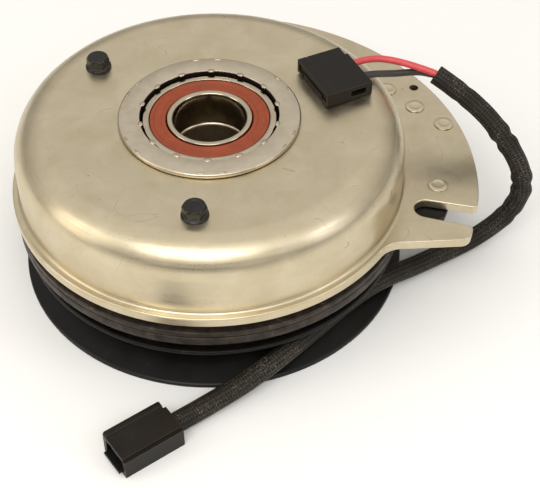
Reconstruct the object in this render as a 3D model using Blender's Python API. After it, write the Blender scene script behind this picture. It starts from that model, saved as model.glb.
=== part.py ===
"""Electromagnetic clutch of a mower deck drive, lying on its pulley.

The spin axis is Z and passes through the origin, which sits on the plane of the pulley's lower face.
X points to the right of the anti-rotation tab's slot side, +Z points to the coil end.
All sizes are in metres.
"""

import math

import bmesh
import bpy
from mathutils import Matrix, Vector
from mathutils.geometry import interpolate_bezier

MM = 0.001

# Fits and facets
GAP = 0.3 * MM              # clearance between neighbouring pieces
BIG_TURN = 32               # facets of the large turned pieces
MID_TURN = 24               # facets of the bearings and rings
SMALL_TURN = 10             # facets of rivets and screw flanges

# Shaft and overall height
SHAFT_RADIUS = 14.29 * MM   # 1 1/8 in crankshaft
KEY_WIDTH = 6.35 * MM
KEY_DEPTH = 3.2 * MM
TOTAL_HEIGHT = 70.0 * MM    # pulley face to the top of the bearing retainer

# Field housing: a pressed dome with a rim and an anti-rotation tab
RIM_RADIUS = 79.4 * MM
RIM_BOTTOM = 36.5 * MM
RIM_TOP = 40.5 * MM
WALL_RADIUS = 76.4 * MM
SHEET = 3.0 * MM
SHOULDER_RADIUS = 13.0 * MM     # outer bend between the wall and the top
DOME_TOP_EDGE = 69.2 * MM       # height of the top where the bend starts
DOME_TOP_CENTRE = 68.0 * MM     # height of the top at the centre hole
DOME_HOLE_RADIUS = 33.5 * MM

# Anti-rotation tab
TAB_RADIUS = 106.7 * MM
TAB_LOW_EDGE = -44.7 * MM       # straight lower edge, parallel to X
TAB_MID_ANGLE = math.radians(27.5)
TAB_BLEND = 10.0 * MM
TAB_CORNER = 4.5 * MM
SLOT_ANGLE = math.radians(-17.8)
SLOT_END_RADIUS = 87.1 * MM
SLOT_HALF_WIDTH = 4.7 * MM
SLOT_MOUTH_HALF_WIDTH = 5.5 * MM
RIVET_SPOTS = ((77.1 * MM, 47.8 * MM), (87.4 * MM, 35.4 * MM), (97.8 * MM, 23.4 * MM), (89.5 * MM, -13.8 * MM))
TAB_HOLE_SPOT = (88.8 * MM, 48.3 * MM)
TAB_HOLE_RADIUS = 2.0 * MM
RIVET_SHANK = 2.0 * MM
RIVET_HEAD = 3.7 * MM

# Backing plate riveted under the tab
BACKING_TOP = RIM_BOTTOM - GAP
BACKING_SHEET = 2.6 * MM

# Bearing retainer, which is also the inner pole
RETAINER_RADIUS = 35.35 * MM
RETAINER_BORE = 26.3 * MM
RETAINER_SLEEVE = 33.2 * MM
RETAINER_BOTTOM = 46.0 * MM

# Field bearing, 52 x 28.58 x 15
FIELD_BEARING_OUTER = 26.0 * MM
FIELD_BEARING_TOP = 68.5 * MM
FIELD_BEARING_BOTTOM = 53.5 * MM
FIELD_BALL = 3.75 * MM
FIELD_BALL_COUNT = 9

# Pulley bearing, 68 x 40 x 15
PULLEY_BEARING_OUTER = 34.0 * MM
PULLEY_BEARING_BORE = 20.0 * MM
PULLEY_BEARING_TOP = 17.6 * MM
PULLEY_BEARING_BOTTOM = 2.6 * MM
PULLEY_BALL = 3.7 * MM
PULLEY_BALL_COUNT = 11

# Coil and its steel shell
COIL_SHELL_INNER = 38.0 * MM
COIL_SHELL_OUTER = 72.9 * MM
COIL_SHELL_BOTTOM = 44.0 * MM
COIL_SHELL_TOP = 64.6 * MM
COIL_SPACE_INNER = 41.5 * MM
COIL_SPACE_OUTER = 68.0 * MM
COIL_SPACE_TOP = 61.3 * MM

# Screws that hold the coil shell in the dome
SCREW_CIRCLE = 55.1 * MM
SCREW_ANGLES = (math.radians(142.6), math.radians(263.1))
SCREW_SEAT = 69.4 * MM
SCREW_FLANGE = 5.15 * MM
SCREW_ACROSS_FLATS = 8.0 * MM
SCREW_HEAD_HEIGHT = 5.0 * MM
SCREW_SHANK = 2.4 * MM
SCREW_TIP = 61.5 * MM

# Rotor
ROTOR_FACE = 29.7 * MM          # friction face, looking down
ROTOR_RADIUS = 78.6 * MM
ROTOR_EDGE_TOP = 32.0 * MM
POLE_TOP = 43.4 * MM
HUB_TOP = 53.2 * MM
HUB_BOTTOM = 0.8 * MM
SLOT_ARC_COUNT = 6

# Armature and its travel
ARMATURE_TOP = 29.2 * MM
ARMATURE_BOTTOM = 25.2 * MM
ARMATURE_INNER = 42.0 * MM

# Pulley: two pressed flanges on a turned hub
PULLEY_RADIUS = 78.6 * MM
PULLEY_UPPER_RADIUS = 76.6 * MM
GROOVE_FLOOR = 64.3 * MM
GROOVE_TILT = math.tan(math.radians(19.0))
GROOVE_LOW_EDGE = 1.8 * MM
GROOVE_HIGH_EDGE = 17.2 * MM
PULLEY_SPLIT = 9.85 * MM        # plane where the two flanges meet
FLANGE_SHEET = 2.4 * MM
PULLEY_HUB_RADIUS = 39.5 * MM
PULLEY_HUB_TOP = 20.5 * MM

# Leaf springs between the pulley and the armature
SPRING_COUNT = 3
SPRING_CIRCLE = 55.0 * MM
SPRING_HALF_LENGTH = 21.0 * MM
SPRING_HALF_WIDTH = 6.0 * MM
SPRING_SHEET = 0.8 * MM
SPRING_HEIGHT = 18.6 * MM

# Upper plug on the dome
PLUG_SPOT = (50.0 * MM, 17.6 * MM, 69.3 * MM)
PLUG_TURN = math.radians(22.5)
PLUG_LENGTH = 19.8 * MM
PLUG_WIDTH = 25.6 * MM
PLUG_HEIGHT = 5.8 * MM
PLUG_WALL = 1.3 * MM
WAY_OFFSET = 5.5 * MM           # each wire lies this far from the plug's middle

# Cable: sleeve, wires and lower connector
SLEEVE_DIAMETER = 8.0 * MM
WIRE_DIAMETER = 2.8 * MM
SLEEVE_ROUTE = (
    (91.5, 22.0, 68.0), (96.5, 19.0, 65.5), (102.0, 15.5, 62.5), (107.5, 12.0, 59.0), (112.5, 8.5, 55.0),
    (117.0, 5.3, 50.0), (121.5, 2.4, 44.0), (125.0, 0.0, 38.0), (127.0, -1.5, 32.0), (127.5, -2.6, 25.5),
    (125.8, -3.6, 19.3), (121.5, -5.0, 12.9), (114.3, -7.4, 7.6), (105.0, -11.6, 4.9), (93.5, -17.8, 4.9),
    (81.0, -25.6, 6.6), (71.6, -31.5, 8.6), (64.0, -36.6, 9.8), (56.8, -41.8, 9.9), (48.3, -49.2, 9.9),
    (39.8, -57.2, 9.9), (31.2, -65.2, 9.9), (22.4, -72.9, 9.6), (15.6, -77.8, 8.4), (7.2, -83.0, 6.6),
    (-5.3, -90.0, 4.7), (-12.0, -94.1, 4.5), (-17.6, -97.6, 4.5),
)
RED_ROUTE = (
    (58.0, 25.6, 71.9), (62.5, 27.4, 72.1), (68.0, 28.4, 71.9), (73.5, 27.8, 71.5), (79.0, 26.1, 71.0),
    (84.2, 23.9, 70.4), (88.4, 22.0, 69.8), (90.9, 20.7, 69.4),
)
BLACK_ROUTE = (
    (61.3, 17.65, 71.9), (65.5, 19.4, 71.2), (70.5, 21.5, 69.6), (75.5, 23.1, 68.3), (80.5, 24.2, 67.7),
    (85.5, 24.5, 67.4), (89.6, 23.6, 67.0), (91.0, 23.1, 66.9),
)
CONNECTOR_SPOT = (-28.5 * MM, -104.2 * MM, 0.0)
CONNECTOR_TURN = math.radians(32.5)
CONNECTOR_LENGTH = 25.0 * MM
CONNECTOR_WIDTH = 15.0 * MM
CONNECTOR_HEIGHT = 10.0 * MM

STEEL = {"metallic": 1.0, "roughness": 0.35}
PLASTIC = {"metallic": 0.0, "roughness": 0.5}
FINISHES = {
    "zinc_plated_steel": ((0.66, 0.62, 0.53), STEEL),
    "machined_steel": ((0.62, 0.58, 0.55), STEEL),
    "bearing_steel": ((0.60, 0.58, 0.55), {"metallic": 1.0, "roughness": 0.18}),
    "bare_iron": ((0.30, 0.28, 0.26), {"metallic": 1.0, "roughness": 0.5}),
    "worn_iron": ((0.16, 0.13, 0.11), {"metallic": 1.0, "roughness": 0.55}),
    "black_steel": ((0.02, 0.02, 0.02), {"metallic": 0.6, "roughness": 0.45}),
    "spring_steel": ((0.35, 0.34, 0.33), STEEL),
    "copper": ((0.60, 0.24, 0.11), {"metallic": 1.0, "roughness": 0.35}),
    "brass": ((0.72, 0.55, 0.25), {"metallic": 1.0, "roughness": 0.3}),
    "seal_rubber": ((0.38, 0.10, 0.045), {"metallic": 0.0, "roughness": 0.6}),
    "black_plastic": ((0.02, 0.019, 0.017), PLASTIC),
    "tan_plastic": ((0.42, 0.33, 0.20), PLASTIC),
    "epoxy": ((0.05, 0.05, 0.055), PLASTIC),
    "friction_lining": ((0.10, 0.08, 0.06), {"metallic": 0.0, "roughness": 0.9}),
    "red_insulation": ((0.62, 0.09, 0.10), PLASTIC),
    "black_insulation": ((0.03, 0.03, 0.03), PLASTIC),
    "woven_sleeve": ((0.03, 0.028, 0.025), {"metallic": 0.0, "roughness": 0.75}),
}


def clear_scene():
    """Remove whatever the file opened with."""
    for thing in list(bpy.data.objects):
        bpy.data.objects.remove(thing, do_unlink=True)


def finish(name):
    """Return the material of one finish, made on first use."""
    known = bpy.data.materials.get(name)
    if known:
        return known
    colour, surface = FINISHES[name]
    made = bpy.data.materials.new(name)
    made.use_nodes = True
    shader = made.node_tree.nodes["Principled BSDF"]
    shader.inputs["Base Color"].default_value = (*colour, 1.0)
    shader.inputs["Metallic"].default_value = surface["metallic"]
    shader.inputs["Roughness"].default_value = surface["roughness"]
    made.diffuse_color = (*colour, 1.0)
    return made


def empty(name, parent=None, place=(0.0, 0.0, 0.0), turn=0.0):
    """Add an empty that carries a group of pieces."""
    holder = bpy.data.objects.new(name, None)
    bpy.context.scene.collection.objects.link(holder)
    holder.location = place
    holder.rotation_euler = (0.0, 0.0, turn)
    holder.parent = parent
    return holder


def piece(name, shape, finish_name, parent, smooth=True):
    """Turn a bmesh into a named object with its material."""
    bmesh.ops.remove_doubles(shape, verts=shape.verts[:], dist=0.002 * MM)
    bmesh.ops.recalc_face_normals(shape, faces=shape.faces[:])
    mesh = bpy.data.meshes.new(name)
    shape.to_mesh(mesh)
    shape.free()
    if smooth:
        mesh.shade_smooth()
        mesh.set_sharp_from_angle(angle=math.radians(35.0))
    mesh.materials.append(finish(finish_name))
    made = bpy.data.objects.new(name, mesh)
    bpy.context.scene.collection.objects.link(made)
    made.parent = parent
    return made


def cutter(name, shape, parent):
    """Turn a bmesh into a wire guide that only cuts."""
    made = piece(name, shape, "bare_iron", parent, smooth=False)
    made.display_type = "WIRE"
    made.hide_render = True
    return made


def cut(target, tool, kind="DIFFERENCE"):
    """Add a live Boolean to a piece."""
    modifier = target.modifiers.new(tool.name, "BOOLEAN")
    modifier.operation = kind
    modifier.solver = "EXACT"
    modifier.object = tool


def polar(radius, angle, height=0.0):
    """Point at a radius and an angle about the spin axis."""
    return Vector((radius * math.cos(angle), radius * math.sin(angle), height))


def arc(radius, start, end, steps, centre=(0.0, 0.0)):
    """Points along an arc in a plane, ends included."""
    points = []
    for step in range(steps + 1):
        angle = start + (end - start) * step / steps
        points.append((centre[0] + radius * math.cos(angle), centre[1] + radius * math.sin(angle)))
    return points


def spin_ring(shape, profile, segments, centre=(0.0, 0.0, 0.0)):
    """Spin a closed profile of (radius, height) points about the vertical through a centre."""
    middle = Vector(centre)
    corners = [shape.verts.new(middle + Vector((radius, 0.0, height))) for radius, height in profile]
    sides = [shape.edges.new((corners[i - 1], corners[i])) for i in range(len(corners))]
    bmesh.ops.spin(
        shape, geom=corners + sides, cent=middle, axis=(0.0, 0.0, 1.0),
        angle=2.0 * math.pi, steps=segments, use_merge=True,
    )


def spin_plug(shape, profile, segments, centre=(0.0, 0.0, 0.0)):
    """Spin an open profile that starts and ends on the axis, for a solid turned piece."""
    middle = Vector(centre)
    corners = [shape.verts.new(middle + Vector((radius, 0.0, height))) for radius, height in profile]
    sides = [shape.edges.new((corners[i], corners[i + 1])) for i in range(len(corners) - 1)]
    bmesh.ops.spin(
        shape, geom=corners + sides, cent=middle, axis=(0.0, 0.0, 1.0),
        angle=2.0 * math.pi, steps=segments, use_merge=True,
    )


def turned(name, profile, finish_name, parent, segments=MID_TURN):
    """Make one turned ring."""
    shape = bmesh.new()
    spin_ring(shape, profile, segments)
    return piece(name, shape, finish_name, parent)


def add_box(shape, low, high, rounding=0.0):
    """Add a box between two corners, with its upright edges rounded if asked."""
    size = Vector(high) - Vector(low)
    middle = (Vector(high) + Vector(low)) / 2.0
    place = Matrix.Translation(middle) @ Matrix.Diagonal((*size, 1.0))
    made = bmesh.ops.create_cube(shape, size=1.0, matrix=place)
    if rounding > 0.0:
        corners = set(made["verts"])
        edges = [edge for edge in shape.edges if edge.verts[0] in corners and edge.verts[1] in corners]
        bmesh.ops.bevel(shape, geom=edges, offset=rounding, segments=2, affect="EDGES", profile=0.5)


def add_prism(shape, outline, low, high):
    """Extrude a closed outline of (x, y) points from one height to another."""
    corners = [shape.verts.new((x, y, low)) for x, y in outline]
    floor = shape.faces.new(corners)
    grown = bmesh.ops.extrude_face_region(shape, geom=[floor])
    lifted = [item for item in grown["geom"] if isinstance(item, bmesh.types.BMVert)]
    bmesh.ops.translate(shape, vec=(0.0, 0.0, high - low), verts=lifted)


def ring_section(inner, outer, low, high):
    """Profile of a plain ring."""
    return [(inner, low), (outer, low), (outer, high), (inner, high)]


def dome_section():
    """Profile of the pressed dome: top, bend, wall and rim, one sheet thick."""
    bend_centre = (WALL_RADIUS - SHOULDER_RADIUS, DOME_TOP_EDGE - SHOULDER_RADIUS)
    outside = arc(SHOULDER_RADIUS, math.radians(90.0), 0.0, 6, bend_centre)
    inside = arc(SHOULDER_RADIUS - SHEET, 0.0, math.radians(90.0), 4, bend_centre)
    foot = [
        (WALL_RADIUS, RIM_TOP + 1.2 * MM), (WALL_RADIUS + 1.2 * MM, RIM_TOP), (RIM_RADIUS - 0.5 * MM, RIM_TOP),
        (RIM_RADIUS, RIM_TOP - 0.5 * MM), (RIM_RADIUS, RIM_BOTTOM),
        (WALL_RADIUS - SHEET, RIM_BOTTOM),
    ]
    mouth = [(DOME_HOLE_RADIUS, DOME_TOP_CENTRE - SHEET), (DOME_HOLE_RADIUS, DOME_TOP_CENTRE)]
    return outside + foot + inside + mouth


def tab_outline():
    """Outline of the anti-rotation tab, from under the rim to its outer arc."""
    blend_reach = RIM_RADIUS + TAB_BLEND
    blend_y = TAB_LOW_EDGE - TAB_BLEND
    blend_x = math.sqrt(blend_reach ** 2 - blend_y ** 2)
    blend_angle = math.atan2(-blend_y, -blend_x)
    lower = arc(TAB_BLEND, blend_angle, math.radians(90.0), 5, (blend_x, blend_y))
    corner_y = TAB_LOW_EDGE + TAB_CORNER
    corner_x = math.sqrt((TAB_RADIUS - TAB_CORNER) ** 2 - corner_y ** 2)
    corner_end = math.atan2(corner_y, corner_x)
    lower += arc(TAB_CORNER, math.radians(-90.0), corner_end, 4, (corner_x, corner_y))
    upper = []
    for x, y in reversed(lower):
        radius = math.hypot(x, y)
        mirrored = 2.0 * TAB_MID_ANGLE - math.atan2(y, x)
        upper.append((radius * math.cos(mirrored), radius * math.sin(mirrored)))
    rim_arc = arc(TAB_RADIUS, corner_end, 2.0 * TAB_MID_ANGLE - corner_end, 22)
    inner_start = math.atan2(upper[-1][1], upper[-1][0])
    inner_end = math.atan2(lower[0][1], lower[0][0])
    inner_arc = arc(WALL_RADIUS - 1.0 * MM, inner_start, inner_end, 14)
    return lower + rim_arc[1:-1] + upper + inner_arc


def slot_outline():
    """Outline of the slot in the tab, open at the tab's outer arc."""
    outward = Vector((math.cos(SLOT_ANGLE), math.sin(SLOT_ANGLE)))
    across = Vector((-outward.y, outward.x))
    centre = outward * SLOT_END_RADIUS
    mouth = outward * (TAB_RADIUS + 6.0 * MM)
    points = []
    for step in range(7):
        angle = SLOT_ANGLE + math.radians(90.0) + math.radians(180.0) * step / 6
        points.append((centre.x + SLOT_HALF_WIDTH * math.cos(angle), centre.y + SLOT_HALF_WIDTH * math.sin(angle)))
    for side in (-1.0, 1.0):
        corner = mouth + across * side * SLOT_MOUTH_HALF_WIDTH
        points.append((corner.x, corner.y))
    return points


def build_field_housing(field):
    """Pressed dome, its tab, and the holes for screws, rivets and the coil's header."""
    housing = turned("field_housing", dome_section(), "zinc_plated_steel", field, BIG_TURN)
    tab = bmesh.new()
    add_prism(tab, tab_outline(), RIM_BOTTOM, RIM_TOP)
    cut(housing, cutter("tab_guide", tab, field), "UNION")
    holes = bmesh.new()
    add_prism(holes, slot_outline(), RIM_BOTTOM - SHEET, RIM_TOP + SHEET)
    for x, y in RIVET_SPOTS:
        add_prism(holes, arc(RIVET_SHANK + GAP, 0.0, math.radians(330.0), 11, (x, y)), RIM_BOTTOM - SHEET, RIM_TOP + SHEET)
    add_prism(
        holes, arc(TAB_HOLE_RADIUS, 0.0, math.radians(330.0), 11, TAB_HOLE_SPOT), RIM_BOTTOM - SHEET, RIM_TOP + SHEET,
    )
    for angle in SCREW_ANGLES:
        spot = polar(SCREW_CIRCLE, angle)
        add_prism(
            holes, arc(SCREW_SHANK + GAP, 0.0, math.radians(330.0), 11, spot.xy), DOME_TOP_CENTRE - 2.0 * SHEET,
            TOTAL_HEIGHT,
        )
    cut(housing, cutter("housing_holes", holes, field))
    window = bmesh.new()
    add_box(
        window, (-10.0 * MM, -8.0 * MM, -6.0 * MM), (-7.3 * MM, 8.0 * MM, 3.0 * MM),
    )
    window_guide = cutter("header_window", window, field)
    window_guide.location = PLUG_SPOT
    window_guide.rotation_euler = (0.0, 0.0, PLUG_TURN)
    cut(housing, window_guide)


def backing_outline():
    """Outline of the plate under the tab: it carries the rivets and ends beside the slot."""
    outer = arc(103.0 * MM, math.radians(2.0), math.radians(44.0), 8)
    slot_side = [
        polar(95.5 * MM, math.radians(-5.0)), polar(95.5 * MM, math.radians(-13.0)),
        polar(94.5 * MM, math.radians(-16.5)), polar(91.5 * MM, math.radians(-19.0)),
    ]
    inner = arc(80.2 * MM, math.radians(46.0), math.radians(-20.0), 10)
    return [(spot.x, spot.y) for spot in reversed(slot_side)] + outer + inner


def build_backing_plate(field):
    """Dark plate riveted to the underside of the tab."""
    plate = bmesh.new()
    add_prism(plate, backing_outline(), BACKING_TOP - BACKING_SHEET, BACKING_TOP)
    backing = piece("tab_backing_plate", plate, "black_steel", field, smooth=False)
    holes = bmesh.new()
    for x, y in RIVET_SPOTS:
        add_prism(
            holes, arc(RIVET_SHANK + GAP, 0.0, math.radians(330.0), 11, (x, y)), BACKING_TOP - 2.0 * BACKING_SHEET,
            RIM_TOP,
        )
    cut(backing, cutter("backing_holes", holes, field))


def build_tab_rivets(field):
    """Four rivets with dimpled flat heads."""
    head_low = RIM_TOP + GAP
    tail_high = BACKING_TOP - BACKING_SHEET - GAP
    section = [
        (0.0, tail_high - 1.0 * MM), (3.0 * MM, tail_high - 1.0 * MM), (3.2 * MM, tail_high), (RIVET_SHANK, tail_high),
        (RIVET_SHANK, head_low), (RIVET_HEAD, head_low), (3.4 * MM, head_low + 0.7 * MM),
        (1.6 * MM, head_low + 0.7 * MM), (0.0, head_low + 0.3 * MM),
    ]
    for number, (x, y) in enumerate(RIVET_SPOTS, 1):
        shape = bmesh.new()
        spin_plug(shape, section, SMALL_TURN, (x, y, 0.0))
        piece(f"tab_rivet_{number}", shape, "zinc_plated_steel", field)


def build_bearing_retainer(field):
    """Flanged steel bush that holds the field bearing and carries the inner pole flux."""
    seat = FIELD_BEARING_BOTTOM - GAP
    section = [
        (RETAINER_BORE + 0.6 * MM, TOTAL_HEIGHT), (RETAINER_BORE + 0.6 * MM, TOTAL_HEIGHT - 2.0 * MM),
        (RETAINER_BORE, TOTAL_HEIGHT - 2.0 * MM), (RETAINER_BORE, seat), (24.6 * MM, seat), (24.6 * MM, RETAINER_BOTTOM),
        (RETAINER_SLEEVE, RETAINER_BOTTOM), (RETAINER_SLEEVE, DOME_TOP_CENTRE + GAP),
        (RETAINER_RADIUS, DOME_TOP_CENTRE + GAP + 0.1 * MM), (RETAINER_RADIUS, TOTAL_HEIGHT - 0.6 * MM),
        (RETAINER_RADIUS - 0.6 * MM, TOTAL_HEIGHT),
    ]
    turned("bearing_retainer", section, "machined_steel", field)


def outer_ring_section(outer, low, high, ball, pitch, wall):
    """Outer bearing ring with a raceway."""
    land = outer - wall
    reach = ball + GAP
    edge = math.acos((land - pitch) / reach)
    race = arc(reach, -edge, edge, 4, (pitch, (low + high) / 2.0))
    return [(outer, high), (outer, low), (land, low)] + race + [(land, high)]


def inner_ring_section(bore, low, high, ball, pitch, wall):
    """Inner bearing ring with a raceway."""
    land = bore + wall
    reach = ball + GAP
    edge = math.acos((pitch - land) / reach)
    race = arc(reach, math.pi + edge, math.pi - edge, 4, (pitch, (low + high) / 2.0))
    return [(bore, low), (land, low)] + race + [(land, high), (bore, high)]


def build_ball_row(name, parent, ball, pitch, height, count):
    """Cage with its balls, as one body that rolls between the rings."""
    band = ring_section(pitch - 1.1 * MM, pitch + 1.1 * MM, height - 1.5 * MM, height + 1.5 * MM)
    row = turned(name, band, "bearing_steel", parent, 2 * count)
    balls = bmesh.new()
    for index in range(count):
        spot = polar(pitch, 2.0 * math.pi * (index + 0.25) / count, height)
        bmesh.ops.create_uvsphere(balls, u_segments=6, v_segments=4, radius=ball, matrix=Matrix.Translation(spot))
    cut(row, cutter(name + "_guide", balls, parent), "UNION")


def build_field_bearing(field, rotor, cage_body):
    """Sealed ball bearing between the retainer and the crankshaft."""
    pitch = (FIELD_BEARING_OUTER + SHAFT_RADIUS) / 2.0
    middle = (FIELD_BEARING_TOP + FIELD_BEARING_BOTTOM) / 2.0
    turned(
        "field_bearing_outer_ring",
        outer_ring_section(FIELD_BEARING_OUTER, FIELD_BEARING_BOTTOM, FIELD_BEARING_TOP, FIELD_BALL, pitch, 2.6 * MM),
        "bearing_steel", field,
    )
    turned(
        "field_bearing_inner_ring",
        inner_ring_section(SHAFT_RADIUS, FIELD_BEARING_BOTTOM, FIELD_BEARING_TOP, FIELD_BALL, pitch, 2.3 * MM),
        "bearing_steel", rotor,
    )
    seal_inner = SHAFT_RADIUS + 2.3 * MM + GAP
    seal_outer = FIELD_BEARING_OUTER - 2.6 * MM - GAP
    top = FIELD_BEARING_TOP - 0.5 * MM
    low = FIELD_BEARING_BOTTOM + 0.5 * MM
    turned(
        "field_bearing_seal_top", ring_section(seal_inner, seal_outer, top - 0.9 * MM, top), "seal_rubber", field,
    )
    turned(
        "field_bearing_seal_bottom", ring_section(seal_inner, seal_outer, low, low + 0.9 * MM), "seal_rubber", field,
    )
    build_ball_row("field_bearing_balls", cage_body, FIELD_BALL, pitch, middle, FIELD_BALL_COUNT)


def build_coil(field):
    """Steel coil shell with the bobbin, the copper winding and the potting."""
    corner = [(62.0 * MM, COIL_SHELL_TOP), (68.0 * MM, 62.8 * MM), (71.2 * MM, 59.5 * MM), (72.6 * MM, 55.5 * MM)]
    section = (
        [(COIL_SHELL_INNER, COIL_SHELL_TOP)] + corner
        + [(COIL_SHELL_OUTER, COIL_SHELL_BOTTOM), (COIL_SPACE_OUTER, COIL_SHELL_BOTTOM), (COIL_SPACE_OUTER, COIL_SPACE_TOP)]
        + [(COIL_SPACE_INNER, COIL_SPACE_TOP), (COIL_SPACE_INNER, COIL_SHELL_BOTTOM), (COIL_SHELL_INNER, COIL_SHELL_BOTTOM)]
    )
    shell = turned("coil_shell", section, "bare_iron", field)
    holes = bmesh.new()
    for angle in SCREW_ANGLES:
        spot = polar(SCREW_CIRCLE, angle)
        add_prism(
            holes, arc(SCREW_SHANK + GAP, 0.0, math.radians(330.0), 11, spot.xy), COIL_SPACE_TOP - 1.0 * MM,
            COIL_SHELL_TOP + 1.0 * MM,
        )
    cut(shell, cutter("coil_shell_holes", holes, field))
    bobbin_top = COIL_SPACE_TOP - GAP
    bobbin_low = 45.6 * MM
    tube = COIL_SPACE_INNER + GAP
    lip = COIL_SPACE_OUTER - GAP
    wall = 1.3 * MM
    bobbin = [
        (tube, bobbin_low), (lip, bobbin_low), (lip, bobbin_low + wall), (tube + wall, bobbin_low + wall),
        (tube + wall, bobbin_top - wall), (lip, bobbin_top - wall), (lip, bobbin_top), (tube, bobbin_top),
    ]
    turned("coil_bobbin", bobbin, "tan_plastic", field)
    turned(
        "coil_winding",
        ring_section(tube + wall + GAP, lip - 0.6 * MM, bobbin_low + wall + GAP, bobbin_top - wall - GAP),
        "copper", field,
    )
    turned(
        "coil_potting", ring_section(tube, lip, COIL_SHELL_BOTTOM + 0.2 * MM, bobbin_low - GAP), "epoxy", field,
    )


def build_field_screws(field):
    """Black flanged hexagon screws through the dome into the coil shell."""
    corner = SCREW_ACROSS_FLATS / math.sqrt(3.0)
    section = [
        (0.0, SCREW_TIP), (SCREW_SHANK, SCREW_TIP), (SCREW_SHANK, SCREW_SEAT), (SCREW_FLANGE, SCREW_SEAT),
        (SCREW_FLANGE, SCREW_SEAT + 0.5 * MM), (4.4 * MM, SCREW_SEAT + 1.1 * MM), (0.0, SCREW_SEAT + 1.1 * MM),
    ]
    for number, angle in enumerate(SCREW_ANGLES, 1):
        spot = polar(SCREW_CIRCLE, angle)
        shape = bmesh.new()
        spin_plug(shape, section, SMALL_TURN + 4, spot)
        screw = piece(f"field_screw_{number}", shape, "black_steel", field)
        head = bmesh.new()
        outline = arc(corner, angle, angle + math.radians(300.0), 5, spot.xy)
        add_prism(head, outline, SCREW_SEAT + 0.8 * MM, SCREW_SEAT + SCREW_HEAD_HEIGHT)
        cut(screw, cutter(f"screw_hexagon_{number}", head, field), "UNION")


def build_header(plug_frame):
    """Coil's plastic header on the dome, with its two brass blades."""
    foot = bmesh.new()
    add_box(foot, (-9.7 * MM, -7.7 * MM, -4.4 * MM), (-7.6 * MM, 7.7 * MM, 2.2 * MM))
    header = piece("coil_header", foot, "black_plastic", plug_frame, smooth=False)
    nose = bmesh.new()
    add_box(nose, (-9.4 * MM, -11.0 * MM, 1.6 * MM), (-2.8 * MM, 11.0 * MM, 4.1 * MM))
    cut(header, cutter("header_nose", nose, plug_frame), "UNION")
    slots = bmesh.new()
    for number, side in enumerate((-1.0, 1.0), 1):
        middle = side * WAY_OFFSET
        add_box(slots, (-5.8 * MM, middle - 2.7 * MM, 2.1 * MM), (-2.4 * MM, middle + 2.7 * MM, 3.5 * MM))
        blade = bmesh.new()
        add_box(blade, (-5.5 * MM, middle - 2.4 * MM, 2.4 * MM), (4.6 * MM, middle + 2.4 * MM, 3.2 * MM))
        piece(f"header_blade_{number}", blade, "brass", plug_frame, smooth=False)
    cut(header, cutter("header_slots", slots, plug_frame))


def build_upper_plug(plug_frame):
    """Plug on the header: a housing open towards the bearing, with crimp terminals inside."""
    half_length = PLUG_LENGTH / 2.0
    half_width = PLUG_WIDTH / 2.0
    body = bmesh.new()
    add_box(body, (-half_length, -half_width, 0.0), (half_length, half_width, PLUG_HEIGHT), 0.5 * MM)
    housing = piece("upper_plug_housing", body, "black_plastic", plug_frame)
    hollow = bmesh.new()
    add_box(
        hollow, (-half_length - 1.0 * MM, -half_width + PLUG_WALL, PLUG_WALL),
        (half_length - 2.4 * MM, half_width - PLUG_WALL, PLUG_HEIGHT - PLUG_WALL),
    )
    cut(housing, cutter("plug_hollow", hollow, plug_frame))
    openings = bmesh.new()
    add_box(
        openings, (0.6 * MM, -half_width - 1.0 * MM, PLUG_WALL + 0.2 * MM),
        (7.2 * MM, -half_width + PLUG_WALL + 0.5 * MM, PLUG_HEIGHT - PLUG_WALL - 0.4 * MM),
    )
    add_box(openings, (-half_length - 1.0 * MM, -8.2 * MM, -1.0 * MM), (-7.2 * MM, 8.2 * MM, 2.0 * MM))
    cut(housing, cutter("plug_openings", openings, plug_frame))
    for number, side in enumerate((-1.0, 1.0), 1):
        middle = side * WAY_OFFSET
        shell = bmesh.new()
        bore = bmesh.new()
        add_box(shell, (-2.2 * MM, middle - 3.4 * MM, 1.65 * MM), (7.0 * MM, middle + 3.4 * MM, 4.1 * MM))
        add_box(bore, (-3.4 * MM, middle - 2.75 * MM, 2.1 * MM), (5.6 * MM, middle + 2.75 * MM, 3.55 * MM))
        terminal = piece(f"upper_plug_terminal_{number}", shell, "brass", plug_frame, smooth=False)
        cut(terminal, cutter(f"terminal_bore_{number}", bore, plug_frame))


def smooth_route(points, per_span):
    """Read points from a smooth curve through the route's own points."""
    route = [Vector(point) * MM for point in points]
    read = []
    for index in range(len(route) - 1):
        start, end = route[index], route[index + 1]
        before = route[max(index - 1, 0)]
        after = route[min(index + 2, len(route) - 1)]
        leave = start + (end - before) / 6.0
        arrive = end - (after - start) / 6.0
        span = interpolate_bezier(start, leave, arrive, end, per_span + 1)
        read.extend(span[:-1])
    read.append(route[-1])
    return read


def build_cord(name, points, diameter, finish_name, parent, per_span, sides):
    """Round cord along a smooth route, with closed ends."""
    curve = bpy.data.curves.new(name, "CURVE")
    curve.dimensions = "3D"
    curve.bevel_depth = diameter / 2.0
    curve.bevel_resolution = sides
    curve.use_fill_caps = True
    route = smooth_route(points, per_span)
    spline = curve.splines.new("POLY")
    spline.points.add(len(route) - 1)
    for spot, place in zip(spline.points, route):
        spot.co = (*place, 1.0)
    curve.materials.append(finish(finish_name))
    cord = bpy.data.objects.new(name, curve)
    bpy.context.scene.collection.objects.link(cord)
    cord.parent = parent
    return cord


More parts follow.
